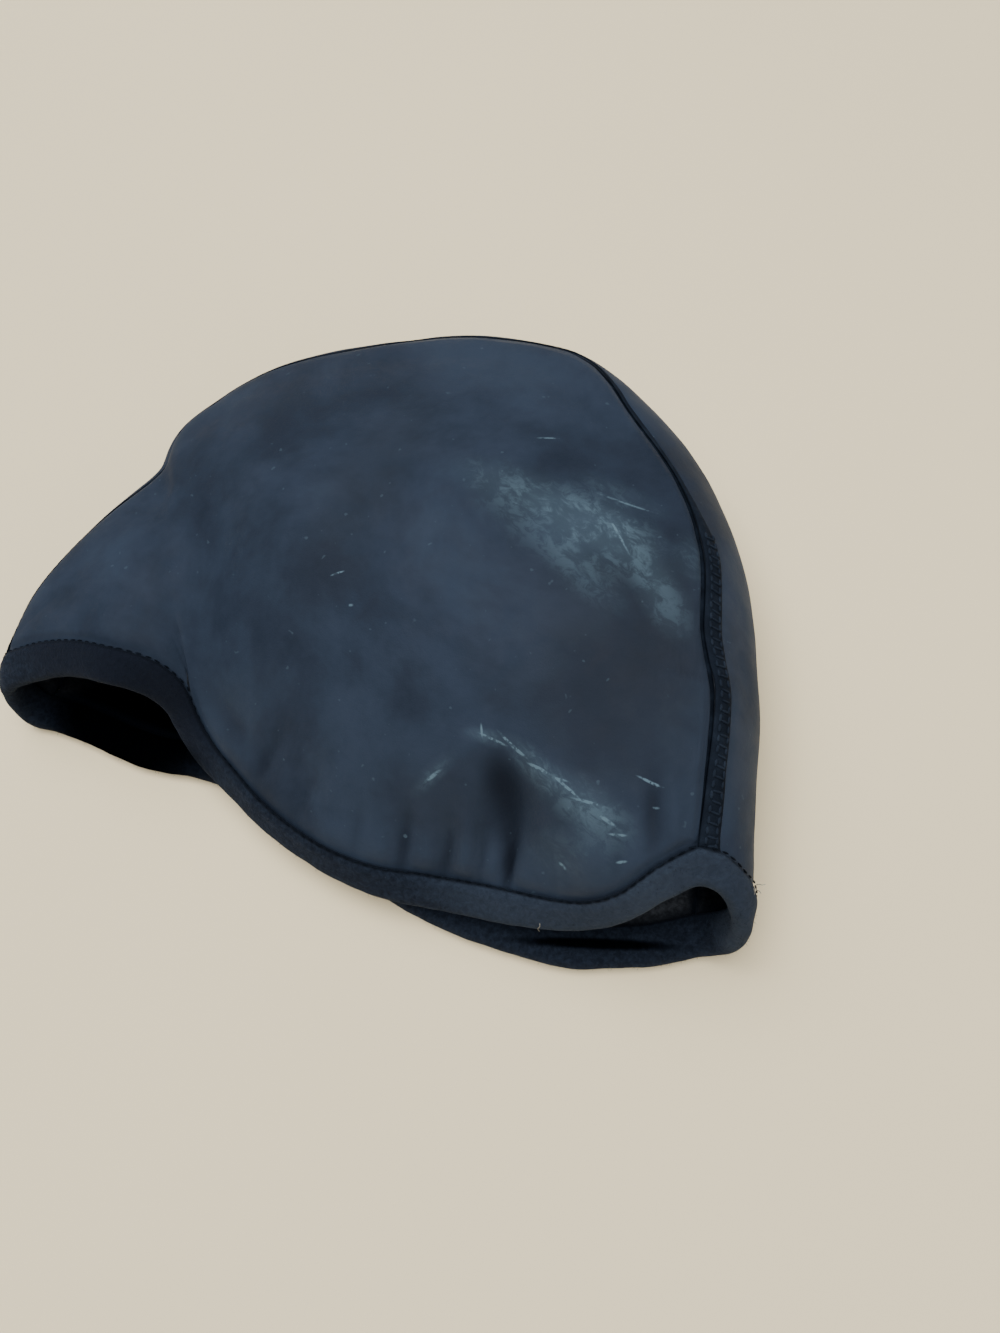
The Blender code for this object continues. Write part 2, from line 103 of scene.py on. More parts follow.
class Shader:
    """Builds the nodes of one material."""

    sheen_tint = (0.45, 0.62, 1.0, 1.0)

    def __init__(self, name: str) -> None:
        """Starts an empty material.

        Args:
            name: The material's name.
        """
        self.material = bpy.data.materials.new(name)
        self.material.use_nodes = True
        self.nodes = self.material.node_tree.nodes
        self.bsdf = self.nodes["Principled BSDF"]
        self.place = self.nodes.new("ShaderNodeTexCoord").outputs["Object"]

    def node(self, kind: str, **settings: object) -> bpy.types.Node:
        """Adds a node.

        Args:
            kind: The node's type, without the words that every type starts with.
            settings: Its settings by name.

        Returns:
            The node.
        """
        node = self.nodes.new(f"ShaderNode{kind}")
        for name, value in settings.items():
            setattr(node, name, value)
        return node

    def feed(self, node: bpy.types.Node, values: dict[str | int, object]) -> None:
        """Links or sets some inputs of a node.

        Args:
            node: The node.
            values: A socket or a constant for each input, by the input's name or number.
        """
        for key, value in values.items():
            if isinstance(value, Socket):
                self.material.node_tree.links.new(value, node.inputs[key])
            else:
                node.inputs[key].default_value = value

    def plain(self, roughness: float, specular: float, sheen: float = 0.0,
              sheen_roughness: float = 0.5) -> None:
        """Sets the shader's own constants.

        Args:
            roughness: How matte the surface is.
            specular: How strongly it mirrors, 0.5 for plain plastic.
            sheen: How strongly its nap glows at a grazing angle.
            sheen_roughness: How widely the nap glows.
        """
        self.feed(self.bsdf, {"Roughness": roughness, "Specular IOR Level": specular})
        if sheen:
            self.feed(self.bsdf, {
                "Sheen Weight": sheen, "Sheen Roughness": sheen_roughness, "Sheen Tint": self.sheen_tint})

    def mapped(self, middle: Vector, scale: Vector, turn: float) -> Socket:
        """Object coordinates centred on a place, turned in the plan and scaled.

        Args:
            middle: The place that becomes the origin.
            scale: How many pattern units go in a metre.
            turn: The turn about Z in degrees.

        Returns:
            The mapped vector.
        """
        shifted = self.node("VectorMath", operation="SUBTRACT")
        self.feed(shifted, {0: self.place, 1: middle})
        turned = self.node("VectorRotate", rotation_type="Z_AXIS")
        self.feed(turned, {"Vector": shifted.outputs[0], "Angle": -math.radians(turn)})
        scaled = self.node("VectorMath", operation="MULTIPLY")
        self.feed(scaled, {0: turned.outputs["Vector"], 1: scale})
        return scaled.outputs[0]

    def noise(self, pattern: Pattern, source: Socket | None = None) -> Socket:
        """A noise value from 0 to 1.

        Args:
            pattern: The noise's numbers.
            source: The vector that it reads, or None for the object's coordinates.

        Returns:
            The value.
        """
        node = self.node("TexNoise")
        self.feed(node, {"Vector": source or self.place, "Scale": pattern.scale, "Detail": pattern.detail,
                         "Roughness": pattern.rough, "Distortion": pattern.warp})
        return node.outputs["Fac"]

    def ramp(self, value: Socket, onto: Ramp) -> Socket:
        """A value taken from one range onto another, smoothly and clamped.

        Args:
            value: The value.
            onto: The two ranges.

        Returns:
            The value in the second range.
        """
        node = self.node("MapRange", interpolation_type="SMOOTHSTEP")
        self.feed(node, {"Value": value, "From Min": onto.low, "From Max": onto.high,
                         "To Min": onto.start, "To Max": onto.end})
        return node.outputs["Result"]

    def math(self, kind: str, first: Socket, second: Socket | float, clamp: bool = False) -> Socket:
        """A sum, a product or another sum of two values.

        Args:
            kind: The Math node's operation.
            first: The first value.
            second: The second value.
            clamp: Whether the result is kept from 0 to 1.

        Returns:
            The result.
        """
        node = self.node("Math", operation=kind, use_clamp=clamp)
        self.feed(node, {0: first, 1: second})
        return node.outputs[0]

    def total(self, values: list[Socket]) -> Socket:
        """The sum of some values, kept from 0 to 1.

        Args:
            values: The values, or none for a steady nothing.

        Returns:
            The sum.
        """
        if not values:
            return self.ramp(self.noise(Pattern(1.0, 0.0)), Ramp(2.0, 3.0))
        result = values[0]
        for value in values[1:]:
            result = self.math("ADD", result, value, clamp=True)
        return result

    def mix(self, share: Socket, first: Socket | Shade, second: Socket | Shade) -> Socket:
        """A colour between two colours.

        Args:
            share: How much of the second colour there is, from 0 to 1.
            first: The first colour.
            second: The second colour.

        Returns:
            The mixed colour.
        """
        node = self.node("Mix", data_type="RGBA")
        colours = [colour if isinstance(colour, Socket) else (*colour, 1.0) for colour in (first, second)]
        self.feed(node, {0: share, 6: colours[0], 7: colours[1]})
        return node.outputs[2]

    def attribute(self, name: str) -> Socket:
        """The value of a vertex attribute."""
        return self.node("Attribute", attribute_name=name).outputs["Fac"]

    def height(self, low: float, high: float) -> Socket:
        """A value that goes from 0 at one height to 1 at another.

        Args:
            low: The height over the floor where it is 0, in metres.
            high: The height where it is 1, over or under the first.

        Returns:
            The value.
        """
        parts = self.node("SeparateXYZ")
        self.feed(parts, {0: self.place})
        return self.ramp(parts.outputs["Z"], Ramp(low, high))

    def oval(self, patch: Scuff, edge: float) -> Socket:
        """An oval patch in the plan, 0 outside and of its own strength in its middle.

        Args:
            patch: The patch.
            edge: The share of it in which it fades.

        Returns:
            The patch's strength.
        """
        scale = Vector((1 / (patch.half[0] * MM), 1 / (patch.half[1] * MM), 0.0))
        length = self.node("VectorMath", operation="LENGTH")
        self.feed(length, {0: self.mapped(Vector((*patch.middle, 0.0)) * MM, scale, patch.turn)})
        inside = self.ramp(length.outputs["Value"], Ramp(1.0, 1.0 - edge))
        return self.math("MULTIPLY", inside, patch.strength)

    def bump(self, height: Socket, depth: float, under: Socket | None = None) -> Socket:
        """A bump, over another bump if there is one.

        Args:
            height: Its height from 0 to 1.
            depth: Its depth in metres.
            under: The normal of the bump under it.

        Returns:
            The normal.
        """
        node = self.node("Bump")
        self.feed(node, {"Strength": 1.0, "Distance": depth, "Height": height})
        if under is not None:
            self.feed(node, {"Normal": under})
        return node.outputs["Normal"]

    def finish(self, colour: Socket, normal: Socket | None = None,
               roughness: Socket | None = None) -> bpy.types.Material:
        """Joins what is made to the shader.

        Args:
            colour: The colour.
            normal: The bumps' normal.
            roughness: How matte each place is.

        Returns:
            The material.
        """
        joined = {"Base Color": colour, "Normal": normal, "Roughness": roughness}
        self.feed(self.bsdf, {name: value for name, value in joined.items() if value is not None})
        return self.material


# Finishes


@dataclass(frozen=True)
class Scuff:
    """A rubbed place in the plan: its middle and half sizes in mm, its way in degrees and its strength."""

    middle: tuple[float, float]
    half: tuple[float, float]
    turn: float
    strength: float

    def wider(self, by: tuple[float, float]) -> Scuff:
        """The same place with its half sizes multiplied."""
        return replace(self, half=(self.half[0] * by[0], self.half[1] * by[1]))


SCUFFS = tuple(Scuff((x, y), (length, width), turn, strength) for x, y, length, width, turn, strength in (
    (46.0, 14.0, 28.0, 12.0, -18.0, 0.55),
    (55.0, 17.0, 20.0, 9.0, -12.0, 0.60),
    (68.0, 13.0, 17.0, 9.0, -40.0, 0.50),
    (28.0, 21.0, 20.0, 7.0, -10.0, 0.30),
    (60.0, 29.0, 15.0, 4.5, -10.0, 0.30),
    (80.0, 0.0, 15.0, 6.0, -50.0, 0.55),
    (58.0, 0.0, 16.0, 6.0, -30.0, 0.35),
    (85.0, 14.0, 9.0, 5.0, -70.0, 0.30),
    (74.0, -58.0, 15.0, 5.5, -14.0, 0.55),
    (80.0, -62.0, 12.0, 5.5, -12.0, 0.38),
    (60.0, -52.5, 11.0, 3.2, -28.0, 0.60),
    (46.0, -48.5, 8.0, 2.0, 8.0, 0.45),
    (33.0, -60.0, 8.0, 2.4, 48.0, 0.35),
    (75.0, -70.0, 14.0, 6.0, 5.0, 0.25),
))

DULL = (
    Scuff((78.0, -22.0), (36.0, 42.0), 0.0, 0.60),
    Scuff((45.0, -66.0), (30.0, 14.0), 0.0, 0.30),
    Scuff((-11.0, 12.0), (48.0, 14.0), 84.0, 0.35),
)


@dataclass(frozen=True)
class FleecePatch:
    """A patch of fleece of another shade, over or under a height: it fades in between its heights. The black
    and dark patches are painted shadow.
    """

    patch: Scuff
    shades: tuple[Shade, Shade]
    heights: tuple[float, float]
    # shadowed: the patch is painted shadow, so it also takes away the fleece's sheen and gloss.
    shadowed: bool = False


PALE_TAPE = ((0.0210, 0.0295, 0.0455), (0.0430, 0.0580, 0.0860))
# The dark and black fleece shades are painted shade and painted shadow.
SHADED_TAPE = ((0.0030, 0.0042, 0.0080), (0.0075, 0.0100, 0.0175))
SHADOW_BLACK = ((0.0003, 0.0004, 0.0006), (0.0006, 0.0008, 0.0012))
LOWER_LIP = (0.009, 0.016)
# Painted shadow: the tape and backing inside the nape mouth are coloured nearly black, without sheen, below a
# height.
MOUTH_SHADOW = FleecePatch(Scuff((-81.0, -62.0), (50.0, 31.0), -4.0, 1.0), SHADOW_BLACK, (0.021, 0.013), True)
# Painted shadow: the backing at the bottom of the forehead mouth is coloured nearly black, without sheen.
FOREHEAD_MOUTH_SHADOW = FleecePatch(Scuff((116.0, -61.0), (11.0, 14.0), 0.0, 0.85), SHADOW_BLACK, (0.036, 0.026), True)
# The tape's patches: two paler patches, painted shade on the tape at the nape, a painted shadow line along
# the lower tape's inner edge, and the nape mouth's painted shadow.
TAPE_PATCHES_AND_SHADOWS = (
    FleecePatch(Scuff((112.0, -72.0), (34.0, 26.0), 0.0, 0.55), PALE_TAPE, LOWER_LIP),
    FleecePatch(Scuff((75.0, -80.0), (55.0, 22.0), 0.0, 0.50), PALE_TAPE, LOWER_LIP),
    FleecePatch(Scuff((-76.0, -50.0), (58.0, 28.0), -10.0, 1.0), SHADED_TAPE, LOWER_LIP),
    FleecePatch(Scuff((85.0, -85.6), (31.0, 2.2), 15.0, 0.95), SHADOW_BLACK, (0.013, 0.008), True),
    MOUTH_SHADOW,
)


@dataclass(frozen=True)
class Scratch:
    """A short pale scratch on the domed panel from one place to another in the plan, in mm."""

    start: tuple[float, float]
    end: tuple[float, float]
    width: float
    strength: float

    def patch(self) -> Scuff:
        """The long thin patch that it covers.

        Returns:
            The patch.
        """
        start, way = Vector(self.start), Vector(self.end) - Vector(self.start)
        return Scuff(tuple(start + way / 2), (way.length / 2, self.width),
                     math.degrees(math.atan2(way.y, way.x)), self.strength)


SCRATCHES = tuple(Scratch((x, y), (to_x, to_y), width, strength) for x, y, to_x, to_y, width, strength in (
    (86.0, -49.2, 94.5, -50.3, 0.45, 1.0),
    (42.5, -48.4, 52.0, -49.0, 0.45, 0.8),
    (47.0, -46.0, 58.5, -51.6, 0.50, 1.0),
    (57.0, -51.9, 66.0, -54.6, 0.50, 0.9),
    (64.5, -53.8, 75.0, -58.6, 0.45, 0.8),
    (70.0, -58.4, 83.0, -58.6, 0.50, 0.5),
    (79.0, -60.5, 86.0, -62.5, 0.60, 0.6),
    (43.0, -45.6, 44.5, -49.6, 0.40, 0.7),
    (30.0, -63.4, 35.5, -58.6, 0.70, 0.6),
    (82.5, -64.3, 88.7, -63.3, 0.45, 0.7),
    (86.5, -69.9, 89.9, -68.9, 0.45, 0.8),
    (71.5, -72.2, 74.6, -74.0, 0.50, 0.7),
    (-11.2, -18.0, -6.4, -15.6, 0.40, 0.8),
    (-3.0, -24.8, -1.0, -24.4, 0.50, 0.5),
    (25.6, -75.8, 27.2, -75.4, 0.60, 0.8),
    (31.5, 39.8, 39.0, 43.0, 0.45, 0.5),
    (52.0, 27.0, 74.0, 26.0, 0.50, 0.4),
    (58.0, 22.0, 70.0, 8.0, 0.50, 0.45),
    (66.0, -54.8, 70.5, -55.0, 0.40, 0.5),
    (92.0, -55.2, 94.5, -55.0, 0.40, 0.4),
))


@dataclass(frozen=True)
class LaminateFace:
    """The smooth outer face of the panels, a fine dark cloth that is rubbed pale in places, with painted
    shade in its fold valleys and at its edges and a painted highlight on its fold ridges.
    """

    name: str = "laminate_face"
    deep: Shade = (0.0128, 0.0188, 0.0320)
    # worn_and_highlight: the paler tone of the cloth's blotches, also used for the painted highlight on fold
    # ridges.
    worn_and_highlight: Shade = (0.0262, 0.0376, 0.0612)
    dulled: Shade = (0.0125, 0.0160, 0.0225)
    scuffed: Shade = (0.098, 0.152, 0.192)
    # crease: the colour of the painted shade in the fold valleys and at the panel's edges.
    crease: Shade = (0.0030, 0.0048, 0.0096)
    dull: tuple[Scuff, ...] = ()
    scuffs: tuple[Scuff, ...] = ()
    scratches: tuple[Scratch, ...] = ()
    blotches: Pattern = Pattern(17.0, 5.0, 0.64, 0.25)
    clouds: Pattern = Pattern(75.0, 4.0, 0.64, 0.2)
    streaks: Pattern = Pattern(1.0, 5.0, 0.72, 0.9)
    streak_scale: tuple[float, float, float] = (190.0, 300.0, 200.0)
    streak_turn: float = -25.0
    rubs: Pattern = Pattern(85.0, 4.0, 0.66, 0.8)
    breaks: Pattern = Pattern(620.0, 3.0, 0.6)
    flecks: Pattern = Pattern(420.0, 1.0, 0.5)
    coarse: Pattern = Pattern(240.0, 3.0, 0.6)
    fine: Pattern = Pattern(1500.0, 3.0, 0.65)
    coarse_depth: float = 0.00012
    fine_depth: float = 0.00006
    painted_valley_shade: Ramp = Ramp(0.0, -2.6, 0.0, 0.93)
    painted_ridge_highlight: Ramp = Ramp(0.1, 1.4, 0.0, 0.40)
    # join: painted shade along the panel's edges where it meets the seams and the binding, by distance to the
    # edge in mm.
    join: Ramp = Ramp(0.3, 1.3, 0.85, 0.0)
    patch_room: tuple[float, float] = (1.25, 1.35)
    patch_edge: float = 0.85
    scratch_edge: float = 0.7

    def make(self) -> bpy.types.Material:
        """Builds the material.

        Returns:
            The material.
        """
        shader = Shader(self.name)
        shader.plain(0.70, 0.09, sheen=0.03)
        cloud = shader.ramp(shader.noise(self.clouds), Ramp(0.35, 0.70, 0.0, 0.6))
        colour = shader.mix(shader.ramp(shader.noise(self.blotches), Ramp(0.34, 0.66)), self.deep, self.worn_and_highlight)
        colour = shader.mix(shader.math("MULTIPLY", cloud, 0.55), colour, self.worn_and_highlight)
        if self.dull:
            colour = shader.mix(self.patches(shader, self.dull), colour, self.dulled)
        fold = shader.attribute("fold")
        # Painted shade: the cloth darkens in the valleys of its folds.
        colour = shader.mix(shader.ramp(fold, self.painted_valley_shade), colour, self.crease)
        # Painted highlight: the cloth pales on the ridges of its folds.
        colour = shader.mix(shader.ramp(fold, self.painted_ridge_highlight), colour, self.worn_and_highlight)
        rubbed = self.rubbed(shader)
        colour = shader.mix(rubbed, colour, self.scuffed)
        # Painted shade: the cloth darkens towards its edges, where it meets the seams and the binding.
        colour = shader.mix(shader.ramp(shader.attribute("to_edge"), self.join), colour, self.crease)
        normal = shader.bump(shader.noise(self.coarse), self.coarse_depth)
        normal = shader.bump(shader.noise(self.fine), self.fine_depth, under=normal)
        rough = shader.ramp(cloud, Ramp(0.0, 0.6, 0.64, 0.78))
        rough = shader.math("ADD", rough, shader.math("MULTIPLY", rubbed, 0.25), clamp=True)
        return shader.finish(colour, normal, rough)

    def rubbed(self, shader: Shader) -> Socket:
        """How rubbed the cloth is, from its scuffs, scratches and flecks.

        Args:
            shader: The material's shader.

        Returns:
            A value from 0 to 1.
        """
        along = shader.mapped(Vector(), Vector(self.streak_scale), self.streak_turn)
        streaked = shader.ramp(shader.noise(self.streaks, along), Ramp(0.34, 0.70))
        grain = shader.math("MULTIPLY", streaked, shader.ramp(shader.noise(self.rubs), Ramp(0.34, 0.62)))
        thin = shader.ramp(grain, Ramp(0.0, 0.70, 0.22, 0.62))
        wear = shader.math("MULTIPLY", self.patches(shader, self.scuffs), thin)
        lines = shader.total([shader.oval(scratch.patch(), self.scratch_edge) for scratch in self.scratches])
        broken = shader.ramp(shader.noise(self.breaks), Ramp(0.38, 0.56, 0.15, 1.5))
        wear = shader.math("ADD", wear, shader.math("MULTIPLY", lines, broken), clamp=True)
        flecks = shader.ramp(shader.noise(self.flecks), Ramp(0.735, 0.80, 0.0, 0.18))
        return shader.math("ADD", wear, flecks, clamp=True)

    def patches(self, shader: Shader, places: tuple[Scuff, ...]) -> Socket:
        """The strength of some places together, each a little wider than it is listed."""
        return shader.total([shader.oval(place.wider(self.patch_room), self.patch_edge) for place in places])


@dataclass(frozen=True)
class Fleece:
    """A brushed, matte fleece, for the panels' backing and for the binding."""

    name: str
    deep: Shade
    light: Shade
    nap: float
    sheen: float
    # shade: how far in mm from its edges the painted shade reaches.
    shade: float
    # patches_and_shadows: paler patches and painted shadows, each below or above a height.
    patches_and_shadows: tuple[FleecePatch, ...] = ()
    specular: float = 0.08
    tufts: Pattern = Pattern(650.0, 4.0, 0.7, 0.4)
    specks: Pattern = Pattern(260.0, 2.0, 0.6, 1.5)
    lint: Shade = (0.08, 0.09, 0.11)
    # crease: the colour of the painted shade at the edges.
    crease: Shade = (0.0022, 0.0034, 0.0062)
    tone_patch_edge: float = 0.6

    def make(self) -> bpy.types.Material:
        """Builds the material.

        Returns:
            The material.
        """
        shader = Shader(self.name)
        shader.plain(0.95, self.specular, sheen=self.sheen, sheen_roughness=0.6)
        tufts = shader.noise(self.tufts)
        colour = shader.mix(shader.ramp(tufts, Ramp(0.3, 0.75)), self.deep, self.light)
        specks = shader.ramp(shader.noise(self.specks), Ramp(0.72, 0.80, 0.0, 0.30))
        colour = shader.mix(specks, colour, self.lint)
        gloss: dict[str, Socket | float] = {"Sheen Weight": self.sheen, "Specular IOR Level": self.specular}
        # Each patch colours the fleece. The shadowed ones are painted shadow and also take away its sheen and
        # gloss.
        for tone_patch in self.patches_and_shadows:
            share = shader.oval(tone_patch.patch, self.tone_patch_edge)
            share = shader.math("MULTIPLY", share, shader.height(*tone_patch.heights))
            colour = shader.mix(share, colour, shader.mix(tufts, *tone_patch.shades))
            if tone_patch.shadowed:
                kept = shader.ramp(share, Ramp(0.0, 1.0, 1.0, 0.0))
                gloss = {name: shader.math("MULTIPLY", kept, value) for name, value in gloss.items()}
        shader.feed(shader.bsdf, gloss)
        # Painted shade: the fleece darkens towards the edges where it meets the other pieces.
        near = shader.ramp(shader.attribute("to_edge"), Ramp(0.2, self.shade, 0.9, 0.0))
        return shader.finish(shader.mix(near, colour, self.crease), shader.bump(tufts, self.nap))


@dataclass(frozen=True)
class Thread:
    """The twisted thread of the seams."""

    name: str = "rim_thread"
    deep: Shade = (0.0030, 0.0048, 0.0085)
    light: Shade = (0.0120, 0.0185, 0.0310)
    twist: Pattern = Pattern(2200.0, 2.0, 0.6)
    wear: Pattern = Pattern(180.0)
    twist_depth: float = 0.00008

    def make(self) -> bpy.types.Material:
        """Builds the material.

        Returns:
            The material.
        """
        shader = Shader(self.name)
        shader.plain(0.80, 0.04)
        twist = shader.noise(self.twist)
        share = shader.math("MULTIPLY", twist, shader.ramp(shader.noise(self.wear), Ramp(0.4, 0.75)))
        return shader.finish(shader.mix(share, self.deep, self.light), shader.bump(twist, self.twist_depth))


@dataclass(frozen=True)
class FloorPaint:
    """A plain pale floor."""

    name: str = "pale_floor"
    colour: Shade = (0.95, 0.81, 0.53)
    darker: float = 0.97
    clouds: Pattern = Pattern(4.0)

    def make(self) -> bpy.types.Material:
        """Builds the material.

        Returns:
            The material.
        """
        shader = Shader(self.name)
        shader.plain(0.75, 0.3)
        share = shader.ramp(shader.noise(self.clouds), Ramp(0.2, 0.8))
        darker = tuple(part * self.darker for part in self.colour)
        return shader.finish(shader.mix(share, self.colour, darker))


@dataclass(frozen=True)
class Finishes:
    """All the materials, made once."""

    face: bpy.types.Material
    plain_face: bpy.types.Material
    backing: bpy.types.Material
    binding: bpy.types.Material
    thread: bpy.types.Material
    loose_thread: bpy.types.Material
    seam_thread: bpy.types.Material
    seam_band: bpy.types.Material
    floor: bpy.types.Material

    @staticmethod
    def make() -> Finishes:
        """Makes every material.

        Returns:
            The materials.
        """
        return Finishes(
            face=LaminateFace(scuffs=SCUFFS, scratches=SCRATCHES, dull=DULL).make(),
            plain_face=LaminateFace(name="laminate_face_plain").make(),
            # The backing is coloured nearly black low in both mouths, as painted shadow, and the tape carries
            # its own patches and painted shadows.
            backing=Fleece(
                "brushed_backing", (0.0180, 0.0198, 0.0232), (0.0560, 0.0625, 0.0740), nap=0.0003, sheen=0.06,
                shade=4.0, patches_and_shadows=(MOUTH_SHADOW, FOREHEAD_MOUTH_SHADOW)).make(),
            binding=Fleece(
                "binding_fleece", (0.0048, 0.0070, 0.0124), (0.0138, 0.0198, 0.0328), nap=0.0005, sheen=0.04,
                shade=1.0, patches_and_shadows=TAPE_PATCHES_AND_SHADOWS).make(),
            thread=Thread().make(),
            loose_thread=Thread("loose_thread", (0.180, 0.170, 0.145), (0.420, 0.400, 0.350)).make(),
            seam_thread=Thread("seam_cover_thread", (0.011, 0.0158, 0.0258), (0.025, 0.0352, 0.0545)).make(),
            seam_band=Thread("seam_band", (0.0066, 0.0096, 0.0160), (0.0150, 0.0215, 0.0345)).make(),
            floor=FloorPaint().make(),
        )


# Mesh helpers


def smooth_step(value: float, low: float, high: float) -> float:
    """An S-curve from 0 at low to 1 at high."""
    share = max(0.0, min(1.0, (value - low) / (high - low)))
    return share * share * (3.0 - 2.0 * share)


def tree_of(node: str) -> BVHTree:
    """The search tree of a CAD node's faces."""
    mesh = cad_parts[node].data
    return BVHTree.FromPolygons([v.co for v in mesh.vertices], [list(p.vertices) for p in mesh.polygons])


def surface_tree(piece: bpy.types.Object, side: Side) -> BVHTree:
    """The search tree of one side of a finished panel."""
    faces = [list(p.vertices) for p in piece.data.polygons if p.material_index == side.value]
    return BVHTree.FromPolygons([v.co for v in piece.data.vertices], faces)


def nearest(trees: list[BVHTree], place: Vector) -> tuple[Vector, float]:
    """The nearest point of some surfaces to a place, and its distance."""
    hit = min((tree.find_nearest(place) for tree in trees), key=lambda found: found[3])
    return hit[0], hit[3]


def new_piece(name: str, mesh: bpy.types.Mesh, *materials: bpy.types.Material) -> bpy.types.Object:
    """Adds a piece of the cap to the scene, riding with it.

    Args:
        name: The piece's name.
        mesh: Its mesh, at its place.
        materials: Its materials, in the order of the mesh's material numbers.

    Returns:
        The piece.
    """
    piece = bpy.data.objects.new(name, mesh)
    bpy.context.scene.collection.objects.link(piece)
    for material in materials:
        mesh.materials.append(material)
    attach(piece, "root")
    return piece


def smooth_piece(name: str, mesh: bpy.types.Mesh, material: bpy.types.Material) -> bpy.types.Object:
    """Adds a smooth-shaded piece of one material to the scene."""
    mesh.shade_smooth()
    return new_piece(name, mesh, material)


def apply_subdivision(piece: bpy.types.Object, levels: int) -> None:
    """Subdivides a piece smoothly and keeps the result as its mesh.

    Args:
        piece: The piece.
        levels: How often each of its faces is divided.
    """
    bpy.ops.object.select_all(action="DESELECT")
    piece.select_set(True)
    bpy.context.view_layer.objects.active = piece
    modifier = piece.modifiers.new("smooth", "SUBSURF")
    modifier.levels = levels
    modifier.render_levels = levels
    bpy.ops.object.modifier_apply(modifier=modifier.name)


def shells(cloth: bmesh.types.BMesh, sharp: float) -> list[set[int]]:
    """Groups the faces that join without a sharp edge.

    Args:
        cloth: The mesh.
        sharp: The smallest angle of a sharp edge in radians.

    Returns:
        The groups, largest area first.
    """
    left = set(range(len(cloth.faces)))
    groups: list[set[int]] = []
    while left:
        start = left.pop()
        group, queue = {start}, [start]
        while queue:
            face = cloth.faces[queue.pop()]
            for edge in face.edges:
                for other in edge.link_faces:
                    if other.index in left and face.normal.angle(other.normal, 0.0) < sharp:
                        left.remove(other.index)
                        group.add(other.index)
                        queue.append(other.index)
        groups.append(group)
    return sorted(groups, key=lambda group: -sum(cloth.faces[i].calc_area() for i in group))


def reach(cloth: bmesh.types.BMesh, group: set[int]) -> float:
    """How far a group of faces lies from the middle of the head's hollow, on average.

    Args:
        cloth: The mesh.
        group: The faces.

    Returns:
        The distance in metres.
    """
    areas = {i: cloth.faces[i].calc_area() for i in group}
    far = sum((cloth.faces[i].calc_center_median() - HOLLOW_MIDDLE).length * areas[i] for i in group)
    return far / sum(areas.values())


def cage_of(node: str) -> tuple[bmesh.types.BMesh, set[int], set[int]]:
    """A merged copy of a CAD node's mesh in quads.

    Args:
        node: The node's name.

    Returns:
        The mesh, and the faces of its outer and of its inner surface.
    """
    cloth = bmesh.new()
    cloth.from_mesh(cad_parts[node].data)
    bmesh.ops.remove_doubles(cloth, verts=cloth.verts, dist=MERGE_DISTANCE)
    bmesh.ops.join_triangles(
        cloth, faces=cloth.faces, angle_face_threshold=0.7, angle_shape_threshold=0.9)
    cloth.faces.ensure_lookup_table()
    cloth.verts.ensure_lookup_table()
    groups = shells(cloth, math.radians(WALL_ANGLE))[:2]
    groups.sort(key=lambda group: -reach(cloth, group))
    return cloth, groups[0], groups[1]


def finished_cage(cloth: bmesh.types.BMesh, name: str, degrees: float, crease: float) -> bpy.types.Mesh:
    """Makes a mesh of a cage, whose wall stays sharper than its folds when it is subdivided.

    Args:
        cloth: The cage, which is freed.
        name: The mesh's name.
        degrees: The smallest angle of a sharp edge.
        crease: How sharp such an edge stays, from 0 to 1.

    Returns:
        The mesh.
    """
    layer = cloth.edges.layers.float.new("crease_edge")
    for edge in cloth.edges:
        if edge.calc_face_angle(0.0) > math.radians(degrees):
            edge[layer] = crease
    mesh = bpy.data.meshes.new(name)
    cloth.to_mesh(mesh)
    cloth.free()
    return mesh


def border_loops(cloth: bmesh.types.BMesh, group: set[int]) -> list[list[Vector]]:
    """Follows the borders of a group of faces.

    Args:
        cloth: The mesh.
        group: The faces.

    Returns:
        The closed lines of points round the group, longest first.
    """
    steps: dict[int, list[int]] = {}
    for edge in cloth.edges:
        if sum(face.index in group for face in edge.link_faces) == 1:
            first, second = edge.verts[0].index, edge.verts[1].index
            steps.setdefault(first, []).append(second)
            steps.setdefault(second, []).append(first)
    loops: list[list[Vector]] = []
    while steps:
        start = next(iter(steps))
        line, here = [start], start
        while steps.get(here):
            ahead = steps[here].pop()
            if here in steps.get(ahead, []):
                steps[ahead].remove(here)
            if not steps[here]:
                del steps[here]
            here = ahead
            line.append(here)
        steps.pop(here, None)
        if len(line) > SHORTEST_LOOP:
            loops.append([cloth.verts[index].co.copy() for index in line[:-1]])
    return sorted(loops, key=lambda loop: -len(loop))


def spaced(line: list[Vector], step: float) -> list[Vector]:
    """Spaces points evenly along a smooth curve through the points of a line.

    Args:
        line: The points.
        step: The distance from point to point in metres.

    Returns:
        The even points.
    """
    fine: list[Vector] = []
    for index in range(len(line) - 1):
        before, start = line[max(0, index - 1)], line[index]
        end, after = line[index + 1], line[min(len(line) - 1, index + 2)]
        for part in range(CURVE_PARTS):
            t = part / CURVE_PARTS
            square = (2 * before - 5 * start + 4 * end - after) * t * t
            cube = (3 * start - before - 3 * end + after) * t**3
            fine.append(0.5 * (2 * start + (end - before) * t + square + cube))
    fine.append(line[-1])
    result, left = [fine[0]], step
    for start, end in zip(fine, fine[1:]):
        length = (end - start).length
        gone = 0.0
        while length - gone >= left:
            gone += left
            result.append(start.lerp(end, gone / length))
            left = step
        left -= length - gone
    return result


def heading(line: list[Vector], index: int, around: int) -> Vector:
    """The way of a line at one of its points, from some points before it to some after it."""
    return (line[min(len(line) - 1, index + around)] - line[max(0, index - around)]).normalized()


